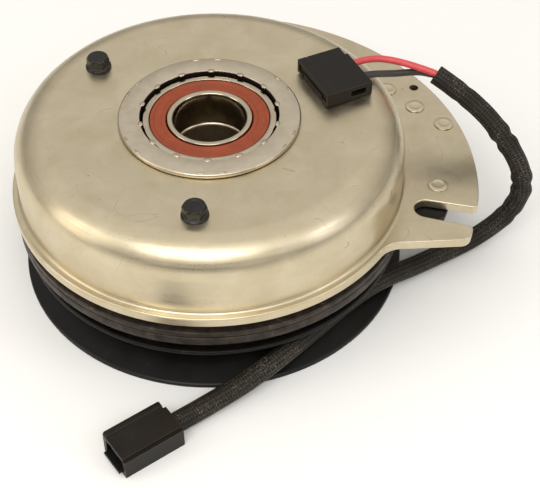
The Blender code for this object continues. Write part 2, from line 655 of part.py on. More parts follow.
def build_lower_connector(frame):
    """Connector at the cable's far end, lying on the surface, with its lock and terminals."""
    half_length = CONNECTOR_LENGTH / 2.0
    half_width = CONNECTOR_WIDTH / 2.0
    body = bmesh.new()
    section = [(-half_width, 0.0)] + [(half_width, 0.0)]
    section += arc(3.2 * MM, 0.0, math.radians(90.0), 4, (half_width - 3.2 * MM, CONNECTOR_HEIGHT - 3.2 * MM))
    section += [(-half_width + 0.5 * MM, CONNECTOR_HEIGHT), (-half_width, CONNECTOR_HEIGHT - 0.5 * MM)]
    corners = [body.verts.new((-half_length, y, z)) for y, z in section]
    end = body.faces.new(corners)
    grown = bmesh.ops.extrude_face_region(body, geom=[end])
    moved = [item for item in grown["geom"] if isinstance(item, bmesh.types.BMVert)]
    bmesh.ops.translate(body, vec=(CONNECTOR_LENGTH, 0.0, 0.0), verts=moved)
    housing = piece("lower_connector_housing", body, "black_plastic", frame)
    hollow = bmesh.new()
    add_box(
        hollow, (-half_length - 1.0 * MM, -half_width + 1.5 * MM, 1.4 * MM),
        (half_length - 6.0 * MM, half_width - 1.9 * MM, CONNECTOR_HEIGHT - 1.6 * MM),
    )
    cut(housing, cutter("connector_hollow", hollow, frame))
    lock = bmesh.new()
    add_box(lock, (-half_length - 1.6 * MM, -half_width + 2.0 * MM, 1.8 * MM), (-half_length + 9.0 * MM, 4.9 * MM, 3.2 * MM))
    piece("lower_connector_lock", lock, "black_plastic", frame, smooth=False)
    for number, middle in enumerate((-3.0 * MM, 2.7 * MM), 1):
        shell = bmesh.new()
        bore = bmesh.new()
        add_box(
            shell, (-half_length + 3.0 * MM, middle - 1.6 * MM, 4.0 * MM),
            (half_length - 6.6 * MM, middle + 1.6 * MM, 7.2 * MM),
        )
        add_box(bore, (-half_length + 2.0 * MM, middle - 1.1 * MM, 4.5 * MM), (0.0, middle + 1.1 * MM, 6.7 * MM))
        socket = piece(f"lower_connector_terminal_{number}", shell, "brass", frame, smooth=False)
        cut(socket, cutter(f"socket_bore_{number}", bore, frame))


def build_rotor(rotor):
    """Rotor hub on the crankshaft, rotor disc with its poles, and the friction ring."""
    hub = [
        (SHAFT_RADIUS, HUB_BOTTOM), (SHAFT_RADIUS, HUB_TOP - 1.0 * MM), (SHAFT_RADIUS + 1.0 * MM, HUB_TOP),
        (19.4 * MM, HUB_TOP), (20.2 * MM, HUB_TOP - 0.8 * MM), (20.2 * MM, 40.0 * MM), (27.0 * MM, 40.0 * MM),
        (27.0 * MM, 33.0 * MM), (23.4 * MM, 33.0 * MM), (23.4 * MM, PULLEY_BEARING_TOP + GAP),
        (19.7 * MM, PULLEY_BEARING_TOP + GAP), (19.7 * MM, 2.4 * MM), (18.7 * MM, 2.4 * MM), (18.7 * MM, 1.6 * MM),
        (19.7 * MM, 1.6 * MM), (19.7 * MM, HUB_BOTTOM),
    ]
    body = turned("rotor_hub", hub, "machined_steel", rotor)
    keyway = bmesh.new()
    add_box(
        keyway, (-KEY_WIDTH / 2.0, -SHAFT_RADIUS - KEY_DEPTH, HUB_BOTTOM - 1.0 * MM),
        (KEY_WIDTH / 2.0, 0.0, HUB_TOP + 1.0 * MM),
    )
    cut(body, cutter("keyway", keyway, rotor))
    disc = [
        (27.3 * MM, 33.4 * MM), (34.0 * MM, 33.4 * MM), (38.0 * MM, ROTOR_FACE), (46.0 * MM, ROTOR_FACE),
        (46.0 * MM, 31.9 * MM), (53.0 * MM, 31.9 * MM), (53.0 * MM, ROTOR_FACE), (ROTOR_RADIUS, ROTOR_FACE),
        (ROTOR_RADIUS, ROTOR_EDGE_TOP), (72.6 * MM, ROTOR_EDGE_TOP + 0.6 * MM), (72.6 * MM, POLE_TOP),
        (67.5 * MM, POLE_TOP), (67.5 * MM, 35.0 * MM), (42.5 * MM, 35.0 * MM), (42.5 * MM, POLE_TOP),
        (37.5 * MM, POLE_TOP), (37.5 * MM, 38.4 * MM), (27.3 * MM, 38.4 * MM),
    ]
    plate = turned("rotor_disc", disc, "worn_iron", rotor, BIG_TURN)
    slots = bmesh.new()
    for index in range(SLOT_ARC_COUNT):
        start = 2.0 * math.pi * index / SLOT_ARC_COUNT
        end = start + math.radians(42.0)
        outline = arc(60.5 * MM, start, end, 6) + arc(57.0 * MM, end, start, 6)
        add_prism(slots, outline, ROTOR_FACE - 1.0 * MM, 36.0 * MM)
    cut(plate, cutter("rotor_slots", slots, rotor))
    turned(
        "friction_ring", ring_section(46.0 * MM + GAP, 53.0 * MM - GAP, ROTOR_FACE - 0.1 * MM, 31.6 * MM),
        "friction_lining", rotor, BIG_TURN,
    )


def build_pulley_bearing(rotor, pulley, cage_body):
    """Sealed ball bearing between the rotor hub and the pulley."""
    pitch = (PULLEY_BEARING_OUTER + PULLEY_BEARING_BORE) / 2.0
    middle = (PULLEY_BEARING_TOP + PULLEY_BEARING_BOTTOM) / 2.0
    turned(
        "pulley_bearing_outer_ring",
        outer_ring_section(PULLEY_BEARING_OUTER, PULLEY_BEARING_BOTTOM, PULLEY_BEARING_TOP, PULLEY_BALL, pitch, 3.3 * MM),
        "bearing_steel", pulley,
    )
    turned(
        "pulley_bearing_inner_ring",
        inner_ring_section(PULLEY_BEARING_BORE, PULLEY_BEARING_BOTTOM, PULLEY_BEARING_TOP, PULLEY_BALL, pitch, 3.3 * MM),
        "bearing_steel", rotor,
    )
    seal_inner = PULLEY_BEARING_BORE + 3.3 * MM + GAP
    seal_outer = PULLEY_BEARING_OUTER - 3.3 * MM - GAP
    top = PULLEY_BEARING_TOP - 0.5 * MM
    low = PULLEY_BEARING_BOTTOM + 0.5 * MM
    turned(
        "pulley_bearing_seal_top", ring_section(seal_inner, seal_outer, top - 0.9 * MM, top), "seal_rubber", pulley,
    )
    turned(
        "pulley_bearing_seal_bottom", ring_section(seal_inner, seal_outer, low, low + 0.9 * MM), "seal_rubber", pulley,
    )
    build_ball_row("pulley_bearing_balls", cage_body, PULLEY_BALL, pitch, middle, PULLEY_BALL_COUNT)


def snap_ring(name, inner, outer, low, high, parent):
    """Open retaining ring with a gap at its ears."""
    ring = turned(name, ring_section(inner, outer, low, high), "spring_steel", parent)
    mouth = bmesh.new()
    add_box(mouth, (-outer - 1.0 * MM, -4.0 * MM, low - 1.0 * MM), (0.0, 4.0 * MM, high + 1.0 * MM))
    cut(ring, cutter(name + "_mouth", mouth, parent))


def build_pulley(pulley):
    """V-belt pulley: a turned hub, two pressed flanges and the rivets through them."""
    hub = [
        (PULLEY_BEARING_OUTER + GAP, 0.0), (PULLEY_HUB_RADIUS - 0.8 * MM, 0.0), (PULLEY_HUB_RADIUS, 0.8 * MM),
        (PULLEY_HUB_RADIUS, PULLEY_HUB_TOP), (30.5 * MM, PULLEY_HUB_TOP), (30.5 * MM, PULLEY_BEARING_TOP + GAP),
        (PULLEY_BEARING_OUTER + GAP, PULLEY_BEARING_TOP + GAP), (PULLEY_BEARING_OUTER + GAP, 2.3 * MM),
        (PULLEY_BEARING_OUTER + 1.2 * MM, 2.3 * MM), (PULLEY_BEARING_OUTER + 1.2 * MM, 0.9 * MM),
        (PULLEY_BEARING_OUTER + GAP, 0.9 * MM),
    ]
    turned("pulley_hub", hub, "machined_steel", pulley)
    web = PULLEY_HUB_RADIUS + GAP
    upper_split = PULLEY_SPLIT + GAP / 2.0
    lower_split = PULLEY_SPLIT - GAP / 2.0
    upper_flank_foot = GROOVE_HIGH_EDGE - (PULLEY_UPPER_RADIUS - GROOVE_FLOOR) * GROOVE_TILT
    lower_flank_foot = GROOVE_LOW_EDGE + (PULLEY_RADIUS - GROOVE_FLOOR) * GROOVE_TILT
    upper = [
        (web, upper_split), (GROOVE_FLOOR, upper_split), (GROOVE_FLOOR, upper_flank_foot),
        (PULLEY_UPPER_RADIUS, GROOVE_HIGH_EDGE), (PULLEY_UPPER_RADIUS + 0.2 * MM, GROOVE_HIGH_EDGE + 0.8 * MM),
        (PULLEY_UPPER_RADIUS - 0.2 * MM, GROOVE_HIGH_EDGE + 1.7 * MM), (PULLEY_UPPER_RADIUS - 1.2 * MM, GROOVE_HIGH_EDGE + 2.0 * MM),
        (GROOVE_FLOOR - 2.6 * MM, upper_split + FLANGE_SHEET), (web, upper_split + FLANGE_SHEET),
    ]
    lower = [
        (web, lower_split - FLANGE_SHEET), (GROOVE_FLOOR - 3.0 * MM, lower_split - FLANGE_SHEET),
        (GROOVE_FLOOR - 2.0 * MM, lower_flank_foot - FLANGE_SHEET), (PULLEY_RADIUS - 4.0 * MM, 0.2 * MM),
        (PULLEY_RADIUS - 3.4 * MM, 0.0), (PULLEY_RADIUS - 0.3 * MM, 0.0), (PULLEY_RADIUS, 0.3 * MM), (PULLEY_RADIUS, GROOVE_LOW_EDGE - 0.3 * MM),
        (PULLEY_RADIUS - 0.5 * MM, GROOVE_LOW_EDGE + 0.1 * MM),
        (GROOVE_FLOOR, lower_flank_foot), (GROOVE_FLOOR, lower_split), (web, lower_split),
    ]
    flanges = (
        turned("pulley_upper_flange", upper, "black_steel", pulley, BIG_TURN),
        turned("pulley_lower_flange", lower, "black_steel", pulley, BIG_TURN),
    )
    holes = bmesh.new()
    low_web = lower_split - FLANGE_SHEET
    high_web = upper_split + FLANGE_SHEET
    section = [
        (0.0, low_web - 1.6 * MM), (2.6 * MM, low_web - 1.6 * MM), (3.2 * MM, low_web - GAP), (2.0 * MM, low_web - GAP),
        (2.0 * MM, high_web + GAP), (3.2 * MM, high_web + GAP), (2.6 * MM, high_web + 1.6 * MM),
        (0.0, high_web + 1.6 * MM),
    ]
    post = section[:4] + [
        (2.0 * MM, high_web + GAP), (3.6 * MM, high_web + GAP), (3.6 * MM, SPRING_HEIGHT - GAP),
        (1.8 * MM, SPRING_HEIGHT - GAP), (1.8 * MM, SPRING_HEIGHT + SPRING_SHEET + GAP),
        (3.0 * MM, SPRING_HEIGHT + SPRING_SHEET + GAP), (2.6 * MM, SPRING_HEIGHT + SPRING_SHEET + 1.3 * MM),
        (0.0, SPRING_HEIGHT + SPRING_SHEET + 1.3 * MM),
    ]
    for index in range(SPRING_COUNT):
        rivet_spot = polar(SPRING_CIRCLE - 4.0 * MM, 2.0 * math.pi * (index + 0.5) / SPRING_COUNT + math.radians(20.0))
        post_spot = spring_ends(index)[0]
        rivet = bmesh.new()
        spin_plug(rivet, section, 10, rivet_spot)
        piece(f"pulley_rivet_{index + 1}", rivet, "spring_steel", pulley)
        stud = bmesh.new()
        spin_plug(stud, post, 10, post_spot)
        piece(f"spring_post_{index + 1}", stud, "spring_steel", pulley)
        for spot in (rivet_spot, post_spot):
            add_prism(
                holes, arc(2.0 * MM + GAP, 0.0, math.radians(324.0), 9, spot.xy), low_web - 2.0 * MM,
                high_web + 2.0 * MM,
            )
    guide = cutter("pulley_holes", holes, pulley)
    for flange in flanges:
        cut(flange, guide)


def spring_ends(index):
    """Places of a leaf spring's pulley end and armature end."""
    middle = polar(SPRING_CIRCLE, 2.0 * math.pi * index / SPRING_COUNT + math.radians(30.0))
    along = Vector((-middle.y, middle.x, 0.0)).normalized()
    reach = SPRING_HALF_LENGTH - 5.0 * MM
    return middle - along * reach, middle + along * reach, along


def build_springs(pulley, armature):
    """Three leaf springs that carry the armature, and the rivets at their far ends."""
    spring_top = SPRING_HEIGHT + SPRING_SHEET
    hanger = [
        (0.0, SPRING_HEIGHT - 1.3 * MM), (2.6 * MM, SPRING_HEIGHT - 1.3 * MM), (3.0 * MM, SPRING_HEIGHT - GAP),
        (1.8 * MM, SPRING_HEIGHT - GAP), (1.8 * MM, spring_top + GAP), (3.4 * MM, spring_top + GAP),
        (3.4 * MM, ARMATURE_BOTTOM - GAP), (1.8 * MM, ARMATURE_BOTTOM - GAP), (1.8 * MM, ARMATURE_TOP - 0.5 * MM),
        (0.0, ARMATURE_TOP - 0.5 * MM),
    ]
    for index in range(SPRING_COUNT):
        pulley_end, armature_end, along = spring_ends(index)
        turn = math.atan2(along.y, along.x)
        outline = []
        for centre, start in ((armature_end, turn - math.pi / 2.0), (pulley_end, turn + math.pi / 2.0)):
            outline += arc(SPRING_HALF_WIDTH, start, start + math.pi, 5, centre.xy)
        strip = bmesh.new()
        add_prism(strip, outline, SPRING_HEIGHT, spring_top)
        spring = piece(f"leaf_spring_{index + 1}", strip, "spring_steel", pulley, smooth=False)
        holes = bmesh.new()
        for end in (pulley_end, armature_end):
            add_prism(
                holes, arc(1.8 * MM + GAP, 0.0, math.radians(324.0), 9, end.xy), SPRING_HEIGHT - 1.0 * MM,
                spring_top + 1.0 * MM,
            )
        cut(spring, cutter(f"spring_holes_{index + 1}", holes, pulley))
        rivet = bmesh.new()
        spin_plug(rivet, hanger, 10, armature_end)
        piece(f"armature_rivet_{index + 1}", rivet, "spring_steel", armature)


def build_armature(armature):
    """Armature plate below the rotor, free to rise by the air gap."""
    section = [
        (ARMATURE_INNER, ARMATURE_BOTTOM), (ROTOR_RADIUS - 0.5 * MM, ARMATURE_BOTTOM),
        (ROTOR_RADIUS, ARMATURE_BOTTOM + 0.5 * MM), (ROTOR_RADIUS, ARMATURE_TOP), (ARMATURE_INNER, ARMATURE_TOP),
    ]
    plate = turned("armature_plate", section, "worn_iron", armature, BIG_TURN)
    holes = bmesh.new()
    for index in range(SPRING_COUNT):
        armature_end = spring_ends(index)[1]
        add_prism(
            holes, arc(1.8 * MM + GAP, 0.0, math.radians(324.0), 9, armature_end.xy), ARMATURE_BOTTOM - 1.0 * MM,
            ARMATURE_TOP + 1.0 * MM,
        )
    for index in range(SLOT_ARC_COUNT):
        start = 2.0 * math.pi * index / SLOT_ARC_COUNT + math.radians(9.0)
        end = start + math.radians(42.0)
        outline = arc(67.5 * MM, start, end, 6) + arc(64.5 * MM, end, start, 6)
        add_prism(holes, outline, ARMATURE_BOTTOM - 1.0 * MM, ARMATURE_TOP + 1.0 * MM)
    cut(plate, cutter("armature_holes", holes, armature))


def main():
    """Build the clutch."""
    clear_scene()
    field = empty("field_frame")
    rotor = empty("rotor_axis")
    pulley = empty("pulley_axis", rotor)
    armature = empty("armature_slide", pulley)
    field_cage = empty("field_bearing_cage_axis")
    pulley_cage = empty("pulley_bearing_cage_axis", rotor)
    plug_frame = empty("plug_frame", field, PLUG_SPOT, PLUG_TURN)
    connector_frame = empty("connector_frame", field, CONNECTOR_SPOT, CONNECTOR_TURN)
    build_field_housing(field)
    build_backing_plate(field)
    build_tab_rivets(field)
    build_bearing_retainer(field)
    build_field_bearing(field, rotor, field_cage)
    build_coil(field)
    build_field_screws(field)
    build_header(plug_frame)
    build_upper_plug(plug_frame)
    build_cord("red_wire", RED_ROUTE, WIRE_DIAMETER, "red_insulation", field, 1, 2)
    build_cord("black_wire", BLACK_ROUTE, WIRE_DIAMETER, "black_insulation", field, 1, 2)
    build_cord("cable_sleeve", SLEEVE_ROUTE, SLEEVE_DIAMETER, "woven_sleeve", field, 1, 3)
    build_lower_connector(connector_frame)
    build_rotor(rotor)
    build_pulley_bearing(rotor, pulley, pulley_cage)
    snap_ring("hub_snap_ring", 19.0 * MM, 22.0 * MM, 1.7 * MM, 2.3 * MM, rotor)
    snap_ring(
        "pulley_snap_ring", 31.6 * MM, PULLEY_BEARING_OUTER + 0.9 * MM, 1.2 * MM, 2.0 * MM, pulley,
    )
    build_pulley(pulley)
    build_springs(pulley, armature)
    build_armature(armature)


main()
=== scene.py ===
"""Visual model of an electromagnetic mower-deck clutch, dressed over its CAD frame.

Every sub-assembly is a class that models its pieces and dresses them, in metres, in the frame of the CAD.
"""

from __future__ import annotations

import logging
import math
from dataclasses import dataclass, field
from enum import Enum
from typing import Iterable, Sequence

import bpy
from mathutils import Matrix, Vector
from mathutils.geometry import interpolate_bezier

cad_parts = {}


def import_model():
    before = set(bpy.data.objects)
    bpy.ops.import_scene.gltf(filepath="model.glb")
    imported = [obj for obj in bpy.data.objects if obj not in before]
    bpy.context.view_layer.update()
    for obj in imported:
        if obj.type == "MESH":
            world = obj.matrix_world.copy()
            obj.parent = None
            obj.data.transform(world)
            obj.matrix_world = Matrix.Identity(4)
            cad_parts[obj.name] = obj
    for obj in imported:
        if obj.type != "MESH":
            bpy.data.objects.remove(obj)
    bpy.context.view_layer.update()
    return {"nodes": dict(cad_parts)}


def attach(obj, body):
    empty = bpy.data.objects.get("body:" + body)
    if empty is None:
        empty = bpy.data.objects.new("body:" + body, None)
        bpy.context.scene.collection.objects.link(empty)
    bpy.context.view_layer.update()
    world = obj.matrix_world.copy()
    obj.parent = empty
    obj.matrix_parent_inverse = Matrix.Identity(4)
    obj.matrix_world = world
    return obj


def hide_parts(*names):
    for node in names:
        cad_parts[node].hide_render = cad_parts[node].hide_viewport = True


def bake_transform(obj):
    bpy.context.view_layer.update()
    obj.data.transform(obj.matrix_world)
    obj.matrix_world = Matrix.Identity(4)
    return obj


LOG = logging.getLogger("clutch")
MM = 0.001
MERGE_DISTANCE = 0.002 * MM
HALF_TURN_STEPS = 12
RIM_SEGMENTS = 192
RING_SEGMENTS = 128
SMALL_SEGMENTS = 96

Corner = tuple[float, float, float]
Tree = bpy.types.NodeTree
Socket = bpy.types.NodeSocket


class Body(Enum):
    """Rigid bodies of the clutch."""

    FIELD = "field"
    ROTOR = "rotor"
    PULLEY = "pulley"
    ARMATURE = "armature"


class Slot(Enum):
    """Slots for the finishes of new pieces; dress takes one with each piece and does not use it."""

    ZINC = "zinc_plated_steel"
    MACHINED = "machined_steel"
    BEARING = "bearing_steel"
    WORN_IRON = "worn_iron"
    BLACK_STEEL = "black_steel"
    SPRING = "spring_steel"
    SEAL = "seal_rubber"
    BLACK_PLASTIC = "black_plastic"
    RED_WIRE = "red_insulation"
    BLACK_WIRE = "black_insulation"
    SLEEVE = "woven_sleeve"


# ---------------------------------------------------------------- selecting and modelling helpers


def clear_selection() -> None:
    """Go to object mode and leave every object unselected."""
    if bpy.context.mode != "OBJECT":
        bpy.ops.object.mode_set(mode="OBJECT")
    bpy.ops.object.select_all(action="DESELECT")


def focus(piece: bpy.types.Object) -> None:
    """Select one object alone and make it active.

    Args:
        piece: The object.
    """
    clear_selection()
    piece.select_set(True)
    bpy.context.view_layer.objects.active = piece


def rounded_outline(corners: Sequence[Corner], steps: int = 4) -> list[Vector]:
    """Round the corners of a closed outline with true arcs.

    Args:
        corners: Each corner as its two coordinates and the radius of its rounding, in millimetres.
        steps: Segments in each rounding.

    Returns:
        The outline's points, in metres.
    """
    points: list[Vector] = []
    for index, (first, second, rounding) in enumerate(corners):
        here = Vector((first, second))
        to_before = Vector(corners[index - 1][:2]) - here
        to_after = Vector(corners[(index + 1) % len(corners)][:2]) - here
        if rounding <= 0.0:
            points.append(here * MM)
            continue
        half = to_before.angle(to_after) / 2.0
        reach = min(rounding / math.tan(half), 0.48 * to_before.length, 0.48 * to_after.length)
        radius = reach * math.tan(half)
        bisector = (to_before.normalized() + to_after.normalized()).normalized()
        centre = here + bisector * (radius / math.sin(half))
        start = here + to_before.normalized() * reach - centre
        end = here + to_after.normalized() * reach - centre
        sweep = math.atan2(start.x * end.y - start.y * end.x, start.dot(end))
        for step in range(steps + 1):
            turned = start.copy()
            turned.rotate(Matrix.Rotation(sweep * step / steps, 2))
            points.append((centre + turned) * MM)
    return points


def merge_and_face_out(threshold: float = MERGE_DISTANCE) -> None:
    """In edit mode, merge doubles and point every face outwards.

    Args:
        threshold: Points nearer than this are merged.
    """
    bpy.ops.mesh.select_all(action="SELECT")
    bpy.ops.mesh.remove_doubles(threshold=threshold)
    bpy.ops.mesh.normals_make_consistent(inside=False)


def settle(piece: bpy.types.Object, smooth_degrees: float = 32.0) -> bpy.types.Object:
    """Apply a piece's place and shade it smooth up to an angle.

    Args:
        piece: The piece.
        smooth_degrees: Edges sharper than this stay hard.

    Returns:
        The same piece.
    """
    focus(piece)
    bpy.ops.object.transform_apply(location=True, rotation=True, scale=True)
    bpy.ops.object.shade_smooth_by_angle(angle=math.radians(smooth_degrees))
    return piece


def start_point(name: str, place: Vector) -> bpy.types.Object:
    """Add a small plane and shrink it to one vertex, ready to be extruded.

    Args:
        name: The new object's name.
        place: Where its vertex lies.

    Returns:
        The object, in edit mode, with its vertex selected.
    """
    clear_selection()
    bpy.ops.mesh.primitive_plane_add(size=1.0 * MM, location=place)
    piece = bpy.context.object
    piece.name = name
    bpy.ops.object.mode_set(mode="EDIT")
    bpy.ops.mesh.select_mode(type="VERT")
    bpy.ops.mesh.select_all(action="SELECT")
    bpy.ops.mesh.merge(type="CENTER")
    return piece


def extrude_along(points: Sequence[Vector]) -> None:
    """Extrude the selected vertex from each point to the next."""
    for before, after in zip(points, points[1:]):
        bpy.ops.mesh.extrude_vertices_move(TRANSFORM_OT_translate={"value": tuple(after - before)})


def lathe(
    name: str, corners: Sequence[Corner], segments: int, centre: tuple[float, float] = (0.0, 0.0),
    steps: int = 3, on_axis: bool = False,
) -> bpy.types.Object:
    """Spin a rounded section round a vertical axis.

    Args:
        name: The piece's name.
        corners: The section's corners as radius, height and rounding, in millimetres.
        segments: Steps of the spin.
        centre: The axis's x and y, in millimetres.
        steps: Segments in each rounding.
        on_axis: True for a solid piece, whose first and last corners lie on the axis.

    Returns:
        The turned piece.
    """
    middle = Vector((centre[0] * MM, centre[1] * MM, 0.0))
    section = [middle + Vector((point.x, 0.0, point.y)) for point in rounded_outline(corners, steps)]
    piece = start_point(name, section[0])
    extrude_along(section if on_axis else section + section[:1])
    bpy.ops.mesh.select_all(action="SELECT")
    bpy.ops.mesh.spin(
        steps=segments, angle=2.0 * math.pi, center=middle, axis=(0.0, 0.0, 1.0), use_auto_merge=True,
    )
    merge_and_face_out()
    return settle(piece)


def round_tool(
    name: str, radius: float, low: float, high: float, centre: tuple[float, float],
) -> bpy.types.Object:
    """Make a round bar that pierces another piece.

    Args:
        name: The tool's name.
        radius: Its radius, in millimetres.
        low: The height of its lower end, in millimetres.
        high: The height of its upper end, in millimetres.
        centre: Its axis's x and y, in millimetres.

    Returns:
        The tool.
    """
    section = ((0.0, low, 0.0), (radius, low, 0.0), (radius, high, 0.0), (0.0, high, 0.0))
    return lathe(name, section, 24, centre, on_axis=True)


def plate(name: str, outline: Sequence[Vector], low: float, high: float) -> bpy.types.Object:
    """Draw a closed outline, fill it and extrude it upwards.

    Args:
        name: The piece's name.
        outline: The outline's points in x and y, in metres.
        low: Height of its lower face, in millimetres.
        high: Height of its upper face, in millimetres.

    Returns:
        The flat piece.
    """
    path = [Vector((point.x, point.y, low * MM)) for point in outline]
    piece = start_point(name, path[0])
    extrude_along(path + path[:1])
    bpy.ops.mesh.select_all(action="SELECT")
    bpy.ops.mesh.remove_doubles(threshold=MERGE_DISTANCE)
    bpy.ops.mesh.edge_face_add()
    bpy.ops.mesh.extrude_region_move(TRANSFORM_OT_translate={"value": (0.0, 0.0, (high - low) * MM)})
    merge_and_face_out()
    bpy.ops.object.mode_set(mode="OBJECT")
    return piece


def block(name: str, low: Sequence[float], high: Sequence[float]) -> bpy.types.Object:
    """Add a cube and size it between two corners.

    Args:
        name: The block's name.
        low: Its lowest corner, in millimetres.
        high: Its highest corner, in millimetres.

    Returns:
        The block.
    """
    clear_selection()
    middle = [(a + b) / 2.0 * MM for a, b in zip(low, high)]
    bpy.ops.mesh.primitive_cube_add(size=1.0, location=middle)
    piece = bpy.context.object
    piece.name = name
    bpy.ops.object.mode_set(mode="EDIT")
    bpy.ops.mesh.select_all(action="SELECT")
    bpy.ops.transform.resize(value=[(b - a) * MM for a, b in zip(low, high)], center_override=middle)
    bpy.ops.object.mode_set(mode="OBJECT")
    bpy.ops.object.transform_apply(location=True, rotation=True, scale=True)
    return piece


def combine(target: bpy.types.Object, tool: bpy.types.Object, kind: str) -> None:
    """Cut or join with another closed piece, which is used up.

    Args:
        target: The piece that stays.
        tool: The piece that is used up.
        kind: The Boolean's operation, DIFFERENCE, UNION or INTERSECT.
    """
    focus(target)
    modifier = target.modifiers.new(tool.name, "BOOLEAN")
    modifier.operation = kind
    modifier.solver = "EXACT"
    modifier.object = tool
    bpy.ops.object.modifier_apply(modifier=modifier.name)
    bpy.data.objects.remove(tool, do_unlink=True)


def weight_normals(piece: bpy.types.Object, smooth_degrees: float) -> None:
    """Shade a piece smooth up to an angle and weight its normals to its flat faces.

    Args:
        piece: The piece, selected and active.
        smooth_degrees: Edges sharper than this stay hard.
    """
    bpy.ops.object.shade_smooth_by_angle(angle=math.radians(smooth_degrees))
    weights = piece.modifiers.new("weights", "WEIGHTED_NORMAL")
    weights.keep_sharp = True
    bpy.ops.object.modifier_apply(modifier=weights.name)


def soften_edges(piece: bpy.types.Object, width: float, segments: int = 2, angle: float = 34.0) -> None:
    """Bevel a piece's hard edges and weight its normals to its flat faces.

    Args:
        piece: The piece.
        width: The bevel's width, in millimetres.
        segments: Steps across the bevel.
        angle: Edges sharper than this many degrees are bevelled.
    """
    focus(piece)
    bevel = piece.modifiers.new("softened", "BEVEL")
    bevel.width = width * MM
    bevel.segments = segments
    bevel.limit_method = "ANGLE"
    bevel.angle_limit = math.radians(angle)
    bevel.use_clamp_overlap = True
    bpy.ops.object.modifier_apply(modifier=bevel.name)
    weight_normals(piece, 50.0)


def turn_and_place(piece: bpy.types.Object, turn: float, place: Sequence[float]) -> bpy.types.Object:
    """Turn a piece about the vertical and move it, then apply both.

    Args:
        piece: The piece, modelled about the origin.
        turn: Its turn, in radians.
        place: Its place, in millimetres.

    Returns:
        The same piece.
    """
    focus(piece)
    piece.rotation_euler = (0.0, 0.0, turn)
    piece.location = Vector(place) * MM
    bpy.ops.object.transform_apply(location=True, rotation=True, scale=True)
    return piece


def unite(pieces: Sequence[bpy.types.Object], name: str) -> bpy.types.Object:
    """Join several closed pieces into one object.

    Args:
        pieces: The pieces, of which the first stays.
        name: The joined object's name.

    Returns:
        The joined object.
    """
    clear_selection()
    for piece in pieces:
        piece.select_set(True)
    bpy.context.view_layer.objects.active = pieces[0]
    bpy.ops.object.join()
    pieces[0].name = name
    return pieces[0]


def copy_of(piece: bpy.types.Object, move: Vector) -> bpy.types.Object:
    """Copy a piece with its own mesh and move the copy's points.

    Args:
        piece: The piece.
        move: How far its copy lies from it.

    Returns:
        The copy.
    """
    twin = piece.copy()
    twin.data = piece.data.copy()
    bpy.context.scene.collection.objects.link(twin)
    twin.data.transform(Matrix.Translation(move))
    return twin


def dress(
    piece: bpy.types.Object, material: bpy.types.Material, body: Body, slot: Slot, *nodes: str,
) -> None:
    """Give a piece its finish, its body and the CAD nodes it stands for.

    Args:
        piece: The finished piece.
        material: Its material.
        body: The body it rides on.
        slot: The slot for its finish; not used.
        nodes: CAD nodes that it replaces.
    """
    piece.data.materials.clear()
    piece.data.materials.append(material)
    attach(piece, body.value)
    if nodes:
        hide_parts(*nodes)
    LOG.info("%s: %d faces, rides on %s", piece.name, len(piece.data.polygons), body.value)


# ---------------------------------------------------------------- finishes


def colour(code: str) -> tuple[float, float, float, float]:
    """Turn an sRGB hex value into a linear colour with full alpha.

    Args:
        code: The value, as a hash and six digits.

    Returns:
        Red, green, blue and alpha.
    """
    parts = [int(code[index:index + 2], 16) / 255.0 for index in (1, 3, 5)]
    linear = [part / 12.92 if part <= 0.04045 else ((part + 0.055) / 1.055) ** 2.4 for part in parts]
    return (linear[0], linear[1], linear[2], 1.0)


def per_mm(size: float) -> float:
    """Scale that makes a pattern's feature this many millimetres wide."""
    return 1.0 / (size * MM)


def add_node(
    tree: Tree, kind: str, settings: dict[str, object] | None = None,
    inputs: dict[str | int, object] | None = None,
) -> bpy.types.Node:
    """Add a shader node with its settings and inputs.

    Args:
        tree: The material's node tree.
        kind: The node's type name.
        settings: Properties of the node.
        inputs: Values or output sockets, by input name or number.

    Returns:
        The node.
    """
    node = tree.nodes.new(kind)
    for name, value in (settings or {}).items():
        setattr(node, name, value)
    for name, value in (inputs or {}).items():
        if isinstance(value, Socket):
            tree.links.new(value, node.inputs[name])
        else:
            node.inputs[name].default_value = value
    return node


def new_surface(name: str) -> tuple[bpy.types.Material, Tree, bpy.types.Node]:
    """Start a material.

    Args:
        name: The material's name.

    Returns:
        The material, its tree and its Principled shader.
    """
    material = bpy.data.materials.new(name)
    material.use_nodes = True
    tree = material.node_tree
    return material, tree, tree.nodes["Principled BSDF"]


def ranged(
    tree: Tree, value: Socket, start: float, end: float, low: float, high: float,
) -> Socket:
    """Map a value from one range to another, held at its ends.

    Args:
        tree: The material's node tree.
        value: The socket to map.
        start: Value that gives low.
        end: Value that gives high.
        low: First result.
        high: Last result.

    Returns:
        The result's socket.
    """
    node = add_node(
        tree, "ShaderNodeMapRange", {"clamp": True},
        {"Value": value, "From Min": start, "From Max": end, "To Min": low, "To Max": high},
    )
    return node.outputs["Result"]


def mixed(
    tree: Tree, factor: Socket, first: object, second: object,
) -> Socket:
    """Mix two colours.

    Args:
        tree: The material's node tree.
        factor: How much of the second colour shows.
        first: The first colour, as a value or a socket.
        second: The second colour, as a value or a socket.

    Returns:
        The result's socket.
    """
    node = add_node(tree, "ShaderNodeMix", {"data_type": "RGBA"}, {0: factor, 6: first, 7: second})
    return node.outputs[2]


def maths(tree: Tree, operation: str, first: object, second: object = 0.0) -> Socket:
    """Work out one sum on values or sockets and return the result's socket."""
    return add_node(tree, "ShaderNodeMath", {"operation": operation}, {0: first, 1: second}).outputs[0]


